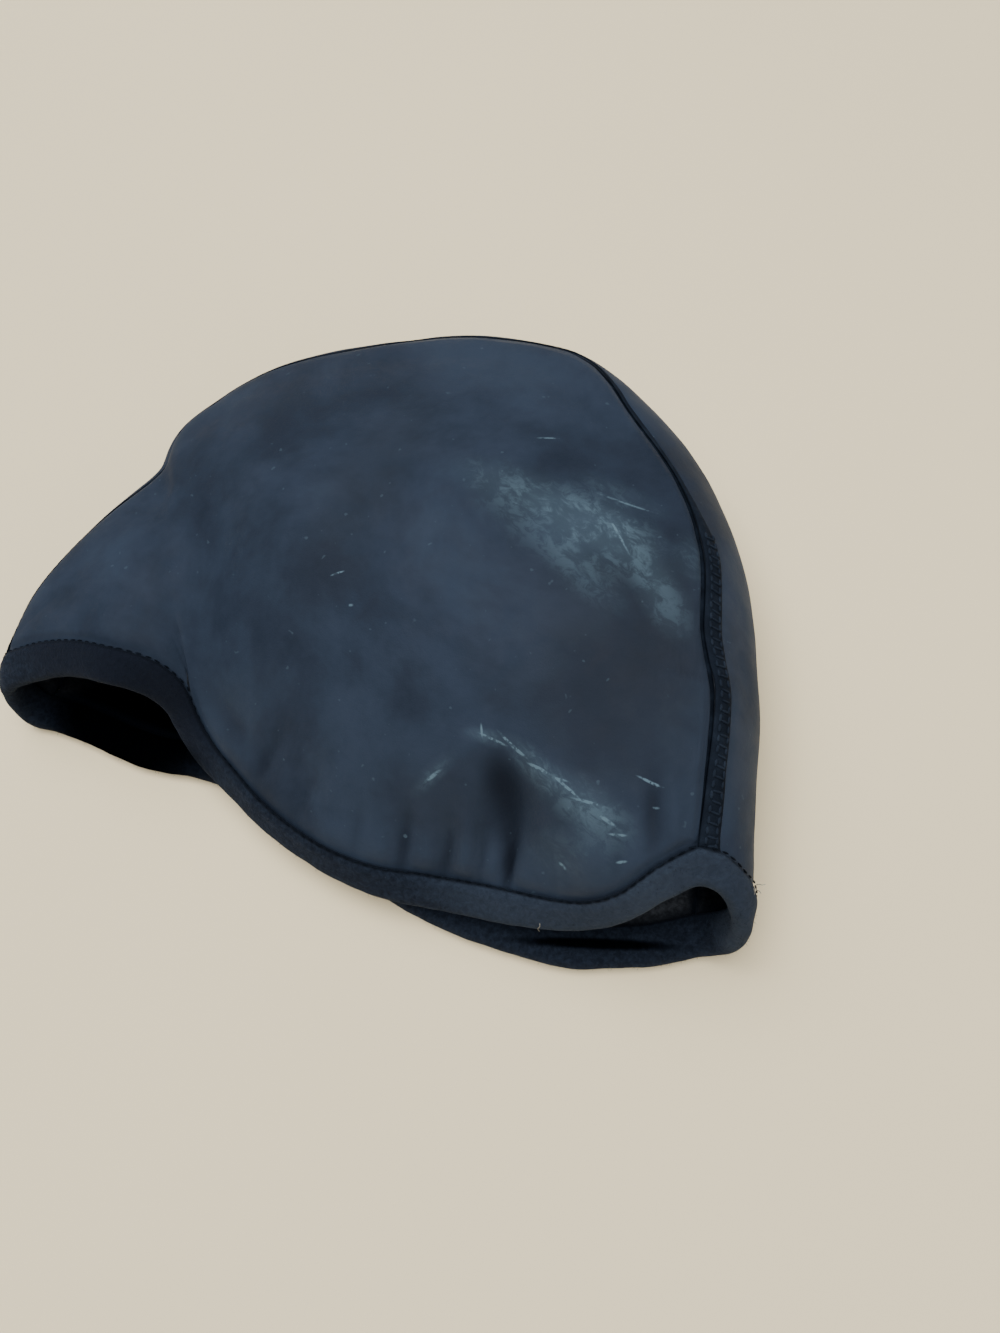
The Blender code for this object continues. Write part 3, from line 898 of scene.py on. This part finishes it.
def ring(middle: Vector, first: Vector, second: Vector, corners: int) -> list[Vector]:
    """The corners of a ring round a middle, from the way of the first corner to a second way."""
    angles = [2 * math.pi * corner / corners for corner in range(corners)]
    return [middle + first * math.cos(angle) + second * math.sin(angle) for angle in angles]


@dataclass
class Shape:
    """The points and faces of a mesh in the making."""

    verts: list[Vector] = field(default_factory=list)
    faces: list[tuple[int, ...]] = field(default_factory=list)

    def add_tube(self, rings: list[list[Vector]]) -> None:
        """Adds a tube of rings of points, with closed ends.

        Args:
            rings: The rings, each of as many points.
        """
        base, around = len(self.verts), len(rings[0])
        self.verts.extend(point for points in rings for point in points)
        for start in range(base, base + (len(rings) - 1) * around, around):
            for step in range(around):
                here, beside = start + step, start + (step + 1) % around
                self.faces.append((here, beside, beside + around, here + around))
        self.faces.append(tuple(reversed(range(base, base + around))))
        self.faces.append(tuple(range(len(self.verts) - around, len(self.verts))))

    def mesh(self, name: str) -> bpy.types.Mesh:
        """Makes the mesh of the points and faces.

        Args:
            name: The mesh's name.

        Returns:
            The mesh.
        """
        mesh = bpy.data.meshes.new(name)
        mesh.from_pydata([tuple(point) for point in self.verts], [], self.faces)
        return mesh


def lofted(name: str, rings: list[list[Vector]]) -> bpy.types.Mesh:
    """Makes the mesh of one tube, with its faces outwards.

    Args:
        name: The mesh's name.
        rings: The tube's rings.

    Returns:
        The mesh.
    """
    tube = Shape()
    tube.add_tube(rings)
    mesh = tube.mesh(name)
    cloth = bmesh.new()
    cloth.from_mesh(mesh)
    bmesh.ops.recalc_face_normals(cloth, faces=cloth.faces)
    cloth.to_mesh(mesh)
    cloth.free()
    return mesh


def copied(name: str, model: bpy.types.Mesh, places: list[Matrix]) -> bpy.types.Mesh:
    """Makes a mesh of many copies of a small model.

    Args:
        name: The mesh's name.
        model: The model.
        places: Each copy's place, turn and scale.

    Returns:
        The mesh.
    """
    copies = Shape()
    for place in places:
        start = len(copies.verts)
        copies.verts.extend(place @ vertex.co for vertex in model.vertices)
        copies.faces.extend(tuple(start + index for index in polygon.vertices) for polygon in model.polygons)
    return copies.mesh(name)


def set_at(middle: Vector, along: Vector, normal: Vector, size: Vector) -> Matrix:
    """The place of a copy.

    Args:
        middle: Its middle.
        along: The way of its length.
        normal: The way of its top.
        size: Its scale.

    Returns:
        The matrix that puts it there.
    """
    x = along.normalized()
    z = (normal - x * normal.dot(x)).normalized()
    turn = Matrix((x, z.cross(x), z)).transposed().to_4x4()
    return Matrix.Translation(middle) @ turn @ Matrix.Diagonal(size).to_4x4()


def stitch_model() -> bpy.types.Mesh:
    """One stitch, a plump grain 2 units long and wide that tapers to its ends.

    Returns:
        The stitch's mesh.
    """
    bpy.ops.object.select_all(action="DESELECT")
    bpy.ops.mesh.primitive_uv_sphere_add(segments=8, ring_count=6, radius=1.0)
    grain = bpy.context.object
    bpy.ops.object.mode_set(mode="EDIT")
    bpy.ops.transform.rotate(value=math.pi / 2, orient_axis="Y", center_override=(0.0, 0.0, 0.0))
    bpy.ops.object.mode_set(mode="OBJECT")
    mesh = grain.data.copy()
    bpy.data.objects.remove(grain)
    return mesh


# Cloth pieces


@dataclass(frozen=True)
class Gather:
    """A small fold in the domed panel: its middle, half sizes, way and depth, all in mm."""

    middle: tuple[float, float]
    half: tuple[float, float]
    turn: float
    depth: float

    def height(self, place: Vector) -> float:
        """How far a point of the panel stands out on the fold.

        Args:
            place: The point.

        Returns:
            The height in metres, under 0 for a point that is pulled in.
        """
        turn = math.radians(self.turn)
        x, y = place.x / MM - self.middle[0], place.y / MM - self.middle[1]
        along = (x * math.cos(turn) + y * math.sin(turn)) / self.half[0]
        across = (y * math.cos(turn) - x * math.sin(turn)) / self.half[1]
        return -self.depth * MM * math.exp(-along * along - across * across)


GATHERS = tuple(Gather((x, y), (length, width), turn, depth) for x, y, length, width, turn, depth in (
    (50.5, -56.5, 8.0, 6.0, 108.0, 1.5),
    (55.5, -67.0, 11.0, 5.2, 101.0, 1.6),
    (57.6, -76.5, 6.0, 1.6, 96.0, 1.8),
    (66.0, -53.0, 15.0, 4.0, -22.0, -1.2),
    (44.0, -49.5, 6.5, 3.2, 35.0, -0.7),
    (36.0, -57.0, 8.0, 3.2, 45.0, -0.8),
    (68.0, -68.0, 11.0, 6.0, 100.0, -0.7),
    (43.0, -66.0, 9.0, 4.0, 88.0, -0.5),
    (20.0, -80.0, 7.0, 2.4, 88.0, -0.7),
    (26.5, -79.0, 9.0, 2.4, 88.0, 1.5),
    (33.5, -79.0, 7.0, 2.6, 85.0, -0.9),
    (39.5, -77.5, 9.0, 2.0, 85.0, 1.5),
    (45.0, -76.0, 7.0, 2.4, 92.0, -1.1),
    (49.6, -75.5, 7.0, 1.4, 93.0, 0.9),
    (53.2, -76.0, 6.0, 1.8, 95.0, -1.0),
    (62.5, -76.0, 7.0, 2.4, 95.0, -0.8),
    (71.0, -74.5, 8.0, 2.6, 95.0, 0.9),
    (79.0, -71.0, 7.0, 3.0, 98.0, -0.7),
    (86.5, -68.0, 8.0, 2.4, 100.0, 0.8),
    (93.0, -57.0, 10.0, 2.8, 105.0, 1.5),
    (98.5, -57.0, 8.0, 2.4, 108.0, -0.8),
    (12.0, -79.0, 9.0, 2.6, 85.0, 0.8),
    (3.0, -76.0, 9.0, 2.6, 78.0, -0.6),
    (-6.0, -73.0, 9.0, 2.4, 72.0, 0.8),
    (-14.0, -69.0, 9.0, 2.8, 68.0, -0.6),
    (-21.0, -65.0, 11.0, 2.8, 64.0, 1.0),
    (-27.0, -60.0, 11.0, 3.0, 60.0, -0.6),
    (-36.0, -50.0, 9.0, 6.0, 40.0, -0.7),
    (-38.0, -57.5, 14.0, 4.6, -32.0, 1.3),
    (-52.0, -38.0, 10.0, 6.0, 120.0, -0.5),
    (-88.0, -43.0, 8.0, 3.0, 95.0, 0.6),
    (60.0, 66.0, 10.0, 2.2, -55.0, 0.9),
    (66.0, 55.0, 12.0, 2.6, -60.0, -0.6),
    (78.0, 38.0, 9.0, 2.6, 20.0, 0.6),
    (86.0, 22.0, 8.0, 2.4, 15.0, 0.7),
    (94.0, -20.0, 8.0, 2.2, 0.0, 0.7),
    (97.0, -34.0, 8.0, 2.4, -5.0, 0.6),
    (-62.0, -8.0, 16.0, 7.0, -42.0, 0.7),
))


@dataclass
class ClothPanel:
    """One panel of the cap: a subdivided copy of its solid with its folds and its two faces."""

    node: str
    name: str
    flat: tuple[float, float]
    area: float
    rests_on: tuple[str, ...]
    levels: int = 2
    gathers: tuple[Gather, ...] = ()
    edge_nodes: tuple[str, ...] = ()
    puff: float = 0.0
    puff_grows: Span = (0.7, 3.4)
    puff_fades: Span = (4.0, 15.0)
    sway: float = 0.00022
    sway_scales: Span = (28.0, 85.0)
    held_edge: Span = (0.8, 4.0)
    sharp_angle: float = 50.0
    edge_crease: float = 0.75
    piece: bpy.types.Object = field(init=False)

    def build(self, face: bpy.types.Material, backing: bpy.types.Material) -> bpy.types.Object:
        """Args:
            face: The material of its outer face.
            backing: The material of its inner face and its edges.

        Returns:
            The finished piece.
        """
        self.piece = new_piece(self.name, self.cage(), face, backing)
        apply_subdivision(self.piece, self.levels)
        self.shape()
        self.piece.data.shade_smooth()
        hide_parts(self.node)
        return self.piece

    def cage(self) -> bpy.types.Mesh:
        """The solid's mesh, merged into quads, with its two faces told apart.

        Returns:
            The mesh.
        """
        cloth, face, _ = cage_of(self.node)
        for polygon in cloth.faces:
            polygon.material_index = Side.FACE.value if polygon.index in face else Side.BACKING.value
        layer = cloth.verts.layers.float.new("outer")
        for index in face:
            for vert in cloth.faces[index].verts:
                vert[layer] = 1.0
        return finished_cage(cloth, self.name, self.sharp_angle, self.edge_crease)

    def shape(self) -> None:
        """Moves the cloth's points into its gathers and sways, and keeps how near each edge is."""
        mesh = self.piece.data
        outer = mesh.attributes["outer"].data
        trees = [tree_of(node) for node in self.edge_nodes]
        normals = [vertex.normal.copy() for vertex in mesh.vertices]
        # to_edge and fold also drive the materials' painted shade at the edges and in the fold valleys, and
        # the painted highlight on the ridges.
        edge = mesh.attributes.new("to_edge", "FLOAT", "POINT")
        fold = mesh.attributes.new("fold", "FLOAT", "POINT")
        for vertex, normal in zip(mesh.vertices, normals):
            near = nearest(trees, vertex.co)[1] / MM
            edge.data[vertex.index].value = near
            share = outer[vertex.index].value
            outward = normal if share > 0.5 else -normal
            folded = sum(gather.height(vertex.co) for gather in self.gathers)
            fold.data[vertex.index].value = folded / MM
            wide, fine = (noise.noise(vertex.co * scale) for scale in self.sway_scales)
            sway = wide * self.sway * 2.0 + fine * self.sway
            puff = self.puff * smooth_step(near, *self.puff_grows) * share
            puff *= 1.0 - smooth_step(near, *self.puff_fades)
            vertex.co += outward * ((folded + sway) * smooth_step(near, *self.held_edge) + puff)
            vertex.co.z = max(vertex.co.z, 0.0)


@dataclass
class Binding:
    """The soft tape folded round the rim."""

    node: str = "rim_binding"
    name: str = "rim_binding_tape"
    levels: int = 2
    sway: float = 0.00030
    sway_scales: Span = (60.0, 210.0)
    fine_sway: float = 0.7
    held_edge: Span = (0.5, 3.0)
    pinch: float = 0.00075
    pinched_edge: Span = (0.2, 2.6)
    most_of_gap: float = 0.9
    sharp_angle: float = 60.0
    edge_crease: float = 0.3
    piece: bpy.types.Object = field(init=False)
    top_edge: list[Vector] = field(init=False)

    def build(self, finish: bpy.types.Material) -> bpy.types.Object:
        """Args:
            finish: Its material.

        Returns:
            The finished piece.
        """
        cloth, face, backing = cage_of(self.node)
        loops = border_loops(cloth, face)[:2]
        loops.sort(key=lambda loop: -sum((point - HOLLOW_MIDDLE).length for point in loop) / len(loop))
        self.top_edge = loops[0]
        ends = [polygon for polygon in cloth.faces if polygon.index not in face | backing]
        edge_tree = BVHTree.FromPolygons(
            [vert.co.copy() for vert in cloth.verts], [[vert.index for vert in end.verts] for end in ends])
        self.piece = new_piece(
            self.name, finished_cage(cloth, self.name, self.sharp_angle, self.edge_crease), finish)
        apply_subdivision(self.piece, self.levels)
        self.shape(edge_tree)
        self.piece.data.shade_smooth()
        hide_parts(self.node)
        return self.piece

    def shape(self, edge_tree: BVHTree) -> None:
        """Pinches the tape's edges to the panels and makes it a little uneven.

        Args:
            edge_tree: The search tree of the tape's two cut edges.
        """
        mesh = self.piece.data
        panels = [tree_of(node) for node in PANELS]
        normals = [vertex.normal.copy() for vertex in mesh.vertices]
        # to_edge also drives the tape's painted shade near its cut edges.
        edge = mesh.attributes.new("to_edge", "FLOAT", "POINT")
        for vertex, normal in zip(mesh.vertices, normals):
            near = edge_tree.find_nearest(vertex.co)[3] / MM
            edge.data[vertex.index].value = near
            place = vertex.co.copy()
            hit, gap = nearest(panels, place)
            pinched = 1.0 - smooth_step(near, *self.pinched_edge)
            pinched *= min(self.pinch, gap * self.most_of_gap)
            inwards = (hit - place).normalized()
            wide, fine = (noise.noise(place * scale) for scale in self.sway_scales)
            uneven = wide * self.sway + fine * self.sway * self.fine_sway
            vertex.co += inwards * pinched + normal * (uneven * smooth_step(near, *self.held_edge))


class SeamFrame(NamedTuple):
    """One step of a seam: its place, the ways along it and across the centre panel, and the normal."""

    place: Vector
    along: Vector
    across: Vector
    normal: Vector


@dataclass
class FlatSeam:
    """A flat stitched seam: a thin band beside the join with two stitch rows and cross threads, in mm."""

    seam: Seam
    name: str
    lift: float = 0.42
    width: float = 5.4
    start: float = -0.35
    foot: float = -0.30
    core_radius: float = 1.10
    core_depth: float = 1.30
    core_corners: int = 8
    rows: Span = (1.25, 4.15)
    pitch: float = 2.9
    step: float = 0.9
    join_width: float = 2.6
    probe: float = 3.0
    on_edge: float = 0.3
    tucked_width: float = 0.18
    tucked_height: float = 0.30
    least_shown: float = 0.75
    hidden_above: Span = (16.0, 40.0)
    shown_before: Span = (20.0, 50.0)
    grain: tuple[float, float, float] = (1.00, 0.50, 0.26)
    cross_thread: Span = (0.36, 0.20)
    tucked: bool = False
    seed: int = 7

    def build(self, centre: bpy.types.Object, side: bpy.types.Object,
              finishes: Finishes) -> tuple[bpy.types.Object, ...]:
        """Builds the band and its stitches on the centre panel, and the core in the join.

        Args:
            centre: The finished centre panel.
            side: The finished side panel.
            finishes: The materials.

        Returns:
            The band, the stitches and the core.
        """
        surface = surface_tree(centre, Side.FACE)
        line = spaced(self.line(), self.step * MM)
        frames = self.frames(line, surface)
        band = smooth_piece(f"{self.name}_band", self.band(frames, surface), finishes.seam_band)
        stitches = smooth_piece(f"{self.name}_stitches", self.stitches(frames, surface), finishes.seam_thread)
        core = smooth_piece(
            f"{self.name}_core", self.core(line, surface, surface_tree(side, Side.FACE)), finishes.thread)
        return band, stitches, core

    def core(self, line: list[Vector], centre: BVHTree, side: BVHTree) -> bpy.types.Mesh:
        """Makes the tight threads that fill the join between the two panels' edges, as one round core.

        Args:
            line: The centre panel's edge along the seam.
            centre: The search tree of the centre panel's face.
            side: The search tree of the side panel's face.

        Returns:
            The core's mesh.
        """
        spine = []
        for place in line:
            beside, side_normal, _, _ = side.find_nearest(place)
            inwards = -(centre.find_nearest(place)[1] + side_normal).normalized()
            spine.append(place.lerp(beside, 0.5) + inwards * self.core_depth * MM)
        rings = []
        for index, middle in enumerate(spine):
            along = heading(spine, index, 2)
            across = along.cross(middle - HOLLOW_MIDDLE).normalized() * self.core_radius * MM
            rings.append(ring(middle, across, across.cross(along), self.core_corners))
        return lofted(f"{self.name}_core", rings)

    def line(self) -> list[Vector]:
        """Follows the centre panel's outer edge along this seam.

        Returns:
            The points of the edge's longest run beside the side panel, in order.
        """
        cloth, face, _ = cage_of("centre_panel")
        loop = border_loops(cloth, face)[0]
        cloth.free()
        tree = tree_of(self.seam.value)
        near = [tree.find_nearest(point)[3] < self.join_width * MM for point in loop]
        best: list[Vector] = []
        count = len(loop)
        for begin in range(count):
            if near[begin] and not near[begin - 1]:
                run: list[Vector] = []
                while near[(begin + len(run)) % count] and len(run) < count:
                    run.append(loop[(begin + len(run)) % count])
                if len(run) > len(best):
                    best = run
        return best

    def frames(self, line: list[Vector], surface: BVHTree) -> list[SeamFrame]:
        """Finds the seam's ways at each step.

        Args:
            line: The steps' places.
            surface: The search tree of the centre panel's face.

        Returns:
            The steps.
        """
        result = []
        for index, place in enumerate(line):
            along = heading(line, index, 2)
            normal = surface.find_nearest(place)[1]
            across = normal.cross(along).normalized()
            ahead = surface.find_nearest(place + across * self.probe * MM)[3]
            behind = surface.find_nearest(place - across * self.probe * MM)[3]
            result.append(SeamFrame(place, along, -across if behind < ahead else across, normal))
        return result

    def shown(self, place: Vector) -> float:
        """How much of the band shows past the side panel's edge, 1 at the forehead and 0 at the crown.

        Args:
            place: A place on the seam.

        Returns:
            The share that shows.
        """
        if not self.tucked:
            return 1.0
        hidden = smooth_step(place.y / MM, *self.hidden_above)
        return (1.0 - hidden) * smooth_step(place.x / MM, *self.shown_before)

    def spot(self, here: SeamFrame, across: float, height: float, surface: BVHTree) -> tuple[Vector, Vector]:
        """Finds a point over the centre panel.

        Args:
            here: The step of the seam.
            across: The distance from the seam in mm.
            height: The height over the panel in mm.
            surface: The search tree of the panel's face.

        Returns:
            The point, and the panel's normal under it.
        """
        aside = here.place + here.across * across * MM
        if across <= self.on_edge:
            return aside + here.normal * height * MM, here.normal
        hit, normal, _, _ = surface.find_nearest(aside)
        return hit + normal * height * MM, normal

    def band(self, frames: list[SeamFrame], surface: BVHTree) -> bpy.types.Mesh:
        """Makes the thin raised band, with a low rib at every stitch.

        Args:
            frames: The seam's steps.
            surface: The search tree of the centre panel's face.

        Returns:
            The band's mesh.
        """
        rings = []
        for index, here in enumerate(frames):
            phase = index * self.step / self.pitch
            rib = 0.10 * math.cos(2 * math.pi * phase) + 0.06 * noise.noise(here.place * 400.0)
            shown = self.shown(here.place)
            top = (self.lift + rib) * (self.tucked_height + (1.0 - self.tucked_height) * shown)
            wide = self.tucked_width + (1.0 - self.tucked_width) * shown
            rim = self.width * wide + 0.25 * noise.noise(here.place * 120.0)
            profile = (
                (self.start, self.foot), (self.start, 0.02), (self.start + 0.45 * wide, top * 0.75),
                (self.rows[0] * wide, top * 0.80), (2.0 * wide, top * 1.1), (2.9 * wide, top * 1.15),
                (self.rows[1] * wide, top * 0.78), (rim - 0.5 * wide, top * 0.75),
                (rim, 0.02), (rim, self.foot),
            )
            rings.append([self.spot(here, across, height, surface)[0] for across, height in profile])
        return lofted(self.name, rings)

    def stitches(self, frames: list[SeamFrame], surface: BVHTree) -> bpy.types.Mesh:
        """Makes the stitches of both rows and the threads that cross between them.

        Args:
            frames: The seam's steps.
            surface: The search tree of the centre panel's face.

        Returns:
            The stitches' mesh.
        """
        picker = random.Random(self.seed)
        places = []
        each = self.pitch / self.step
        wide, thick = self.cross_thread
        for number in range(1, int((len(frames) - 2) / each)):
            here = frames[round(number * each)]
            if self.shown(here.place) < self.least_shown:
                continue
            ahead = frames[min(len(frames) - 1, round((number + 0.5) * each))]
            for row in self.rows:
                middle, normal = self.spot(here, row + picker.uniform(-0.12, 0.12), self.lift + 0.08, surface)
                along = here.along + here.across * picker.uniform(-0.15, 0.15)
                size = Vector(self.grain) * MM * picker.uniform(0.9, 1.1)
                places.append(set_at(middle, along, normal, size))
            start, end = (self.spot(ahead, row, self.lift + 0.16, surface)[0] for row in self.rows)
            middle, normal = self.spot(ahead, sum(self.rows) / 2, self.lift + 0.18, surface)
            lean = ahead.along * picker.uniform(0.3, 0.7) * MM
            size = Vector(((end - start).length / 2, wide * MM, thick * MM))
            places.append(set_at(middle, end - start + lean, normal, size))
        return copied(f"{self.name}_stitches", stitch_model(), places)


@dataclass
class RimStitches:
    """The small stitches that hold the tape, sunk in the crease between it and the panels."""

    name: str = "rim_stitches"
    pitch: float = 3.1
    depth: float = 0.55
    nape_depth: float = 0.15
    nape: Span = (15.0, 60.0)
    wander: float = 0.5
    grain_lengths: Span = (0.8, 1.15)
    grain_girth: Span = (0.28, 0.26)
    seed: int = 11

    def build(self, edge: list[Vector], thread: bpy.types.Material) -> bpy.types.Object:
        """Builds the row of stitches.

        Args:
            edge: The tape's outer top edge.
            thread: The stitches' material.

        Returns:
            The stitches.
        """
        picker = random.Random(self.seed)
        trees = [tree_of(node) for node in PANELS]
        line = spaced(edge + edge[:1], self.pitch * MM)
        places = []
        for index in range(1, len(line) - 1):
            along = line[index + 1] - line[index - 1]
            hit, _ = nearest(trees, line[index])
            outward = (line[index] - hit).normalized()
            sunk = smooth_step(-line[index].x / MM, *self.nape)
            middle = hit.lerp(line[index], self.depth + (self.nape_depth - self.depth) * sunk)
            along += outward.cross(along).normalized() * picker.uniform(-self.wander, self.wander) * MM
            size = Vector((picker.uniform(*self.grain_lengths), *self.grain_girth)) * MM
            places.append(set_at(middle, along, outward, size))
        piece = smooth_piece(self.name, copied(self.name, stitch_model(), places), thread)
        return piece


@dataclass(frozen=True)
class LooseEnd:
    """A loose end of thread: where it leaves the cloth, where it goes and how thick it is, in mm."""

    start: tuple[float, float, float]
    steps: tuple[tuple[float, float, float], ...]
    radius: float = 0.14


LOOSE_ENDS = (
    LooseEnd((122.0, -63.5, 33.5), ((0.8, -0.6, 0.5), (1.5, -0.9, 1.2), (1.9, -1.6, 1.4))),
    LooseEnd((122.2, -63.0, 35.0), ((0.7, 0.2, 0.7), (1.3, 0.0, 1.6), (2.2, 0.4, 1.9)), 0.11),
    LooseEnd((121.8, -64.0, 34.5), ((0.4, -0.9, 0.2), (0.5, -1.9, 0.9)), 0.10),
    LooseEnd((69.6, -86.9, 20.2), ((0.2, -0.7, -0.6), (-0.3, -1.3, -2.0), (0.2, -1.6, -3.6)), 0.12),
)


@dataclass
class Lint:
    """Short fibres that stand off the tape, and the loose ends of thread."""

    name: str = "tape_fibres"
    count: int = 3600
    length: Span = (0.5, 1.5)
    lean: float = 0.9
    bend: float = 0.8
    radius: float = 0.035
    lowest: float = 1.5
    end_step: float = 0.25
    end_corners: int = 6
    seed: int = 23

    def build(self, tape: bpy.types.Object, finish: bpy.types.Material,
              thread: bpy.types.Material) -> tuple[bpy.types.Object, bpy.types.Object]:
        """Builds the fibres on the tape and the loose ends.

        Args:
            tape: The finished binding.
            finish: The fibres' material.
            thread: The loose ends' material.

        Returns:
            The fibres and the loose ends.
        """
        fibres = new_piece(self.name, self.fibres(tape), finish)
        ends = smooth_piece("loose_threads", self.loose_ends(), thread)
        return fibres, ends

    def fibres(self, tape: bpy.types.Object) -> bpy.types.Mesh:
        """Makes thin tapered fibres at random places on the tape.

        Args:
            tape: The finished binding.

        Returns:
            The fibres' mesh.
        """
        picker = random.Random(self.seed)
        mesh = tape.data
        lint = Shape()
        polygons = [p for p in mesh.polygons if p.center.z > self.lowest * MM]
        for polygon in picker.choices(polygons, weights=[p.area for p in polygons], k=self.count):
            corners = [mesh.vertices[index].co for index in polygon.vertices]
            root = corners[0].lerp(corners[len(corners) // 2], picker.uniform(0.2, 0.8))
            lean = Vector([picker.uniform(-1.0, 1.0) for _ in range(3)])
            way = (polygon.normal + lean * self.lean).normalized()
            bend = (way + lean.cross(polygon.normal) * self.bend).normalized()
            half = picker.uniform(*self.length) * MM * 0.5
            side = way.orthogonal().normalized() * self.radius * MM
            other = way.cross(side)
            start = len(lint.verts)
            for point, share in ((root - polygon.normal * 0.1 * MM, 1.0), (root + way * half, 0.8)):
                back = point - side * 0.5 * share
                lint.verts += [point + side * share, back + other * share, back - other * share]
            lint.verts.append(root + way * half + bend * half)
            for step in range(3):
                ahead = (step + 1) % 3
                lint.faces.append((start + step, start + ahead, start + 3 + ahead, start + 3 + step))
                lint.faces.append((start + 3 + step, start + 3 + ahead, start + 6))
            lint.faces.append((start + 2, start + 1, start))
        return lint.mesh(self.name)

    def loose_ends(self) -> bpy.types.Mesh:
        """Makes the loose ends of thread, as thin round tubes.

        Returns:
            Their mesh.
        """
        threads = Shape()
        for end in LOOSE_ENDS:
            start = Vector(end.start)
            points = [start] + [start + Vector(step) for step in end.steps]
            line = spaced([point * MM for point in points], self.end_step * MM)
            rings = []
            for index, point in enumerate(line):
                along = heading(line, index, 1)
                side = along.orthogonal().normalized()
                radius = end.radius * MM * (1.0 - 0.5 * index / len(line))
                rings.append(ring(point, side * radius, along.cross(side) * radius, self.end_corners))
            threads.add_tube(rings)
        return threads.mesh("loose_threads")


# Camera, floor and lights


class Lamp(NamedTuple):
    """A soft square light that shines at the cap."""

    name: str
    place: tuple[float, float, float]
    width: float
    power: float
    colour: Shade


LAMPS = (
    Lamp("window", (-0.50, 0.45, 1.30), 1.0, 12.0, (0.97, 0.98, 1.0)),
    Lamp("ceiling", (0.05, -0.12, 1.70), 1.5, 33.0, (1.0, 0.99, 0.97)),
    Lamp("room", (1.00, -0.80, 0.70), 0.8, 2.4, (1.0, 0.98, 0.96)),
)


@dataclass(frozen=True)
class Studio:
    """The floor, the camera and the soft lights."""

    camera_place: tuple[float, float, float] = (0.1062, -0.1257, 0.300)
    camera_turn: tuple[float, float, float] = (24.18, 6.83, 18.37)
    focal_pixels: float = 1001.0
    image_height: float = 1333.0
    aim: tuple[float, float, float] = (0.0, 0.0, 0.03)
    floor_width: float = 6.0
    sky: Shade = (0.92, 0.95, 1.0)
    sky_strength: float = 0.20

    def build(self, floor: bpy.types.Material) -> None:
        """Builds the studio.

        Args:
            floor: The floor's material.
        """
        self.floor(floor)
        self.camera()
        for lamp in LAMPS:
            self.light(lamp)
        world = bpy.data.worlds.new("studio")
        bpy.context.scene.world = world
        world.use_nodes = True
        background = world.node_tree.nodes["Background"].inputs
        background["Color"].default_value = (*self.sky, 1.0)
        background["Strength"].default_value = self.sky_strength

    def floor(self, finish: bpy.types.Material) -> None:
        """Adds the floor, a wide plane just under the cap.

        Args:
            finish: Its material.
        """
        bpy.ops.object.select_all(action="DESELECT")
        bpy.ops.mesh.primitive_plane_add(size=self.floor_width, location=(0.0, 0.0, 0.0))
        plane = bpy.context.object
        plane.name = "floor"
        plane.data.materials.append(finish)

    def camera(self) -> None:
        """Adds the camera at the photograph's place and angle."""
        data = bpy.data.cameras.new("camera")
        data.sensor_fit = "VERTICAL"
        data.sensor_height = 36.0
        data.lens = self.focal_pixels * data.sensor_height / self.image_height
        data.clip_start = 0.01
        camera = bpy.data.objects.new("camera", data)
        camera.location = self.camera_place
        camera.rotation_euler = Euler([math.radians(turn) for turn in self.camera_turn])
        bpy.context.scene.collection.objects.link(camera)
        bpy.context.scene.camera = camera

    def light(self, lamp: Lamp) -> None:
        """Adds a light.

        Args:
            lamp: The light.
        """
        data = bpy.data.lights.new(lamp.name, "AREA")
        data.shape = "SQUARE"
        data.size = lamp.width
        data.energy = lamp.power
        data.color = lamp.colour
        light = bpy.data.objects.new(lamp.name, data)
        light.location = lamp.place
        light.rotation_euler = (Vector(self.aim) - Vector(lamp.place)).to_track_quat("-Z", "Y").to_euler()
        bpy.context.scene.collection.objects.link(light)


# The whole cap


def panels() -> tuple[ClothPanel, ...]:
    """Describes the three panels of the cap.

    Returns:
        The panels, not built yet.
    """
    return (
        ClothPanel("side_panel_right", "side_panel_right_cloth", (0.245, 0.190), 0.0320, ("side_panel_left",),
                   gathers=GATHERS, edge_nodes=("rim_binding", "centre_panel"), puff=0.0009),
        ClothPanel("side_panel_left", "side_panel_left_cloth", (0.245, 0.190), 0.0320, ("floor",),
                   edge_nodes=("rim_binding", "centre_panel")),
        ClothPanel("centre_panel", "centre_panel_cloth", (0.067, 0.450), 0.0220, ("side_panel_left",),
                   edge_nodes=("rim_binding", "side_panel_right", "side_panel_left"), puff=0.0004),
    )


def main() -> None:
    """Builds the studio and every piece of the cap in order."""
    logging.basicConfig(level=logging.INFO, format="%(message)s")
    bpy.ops.object.select_all(action="DESELECT")
    finishes = Finishes.make()
    Studio().build(finishes.floor)
    built: dict[str, bpy.types.Object] = {}
    for panel in panels():
        face = finishes.face if panel.node == "side_panel_right" else finishes.plain_face
        piece = panel.build(face, finishes.backing)
        log.info("%s: %d faces", piece.name, len(piece.data.polygons))
        built[panel.node] = piece
    binding = Binding()
    tape = binding.build(finishes.binding)
    centre = built["centre_panel"]
    trims = [tape]
    for seam in (FlatSeam(Seam.UPPER, "seam_right", tucked=True), FlatSeam(Seam.LOWER, "seam_left")):
        trims += seam.build(centre, built[seam.seam.value], finishes)
    trims.append(RimStitches().build(binding.top_edge, finishes.thread))
    trims += Lint().build(tape, finishes.binding, finishes.loose_thread)
    for piece in trims:
        log.info("%s: %d faces", piece.name, len(piece.data.polygons))


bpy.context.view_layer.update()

if __name__ == "__main__":
    main()
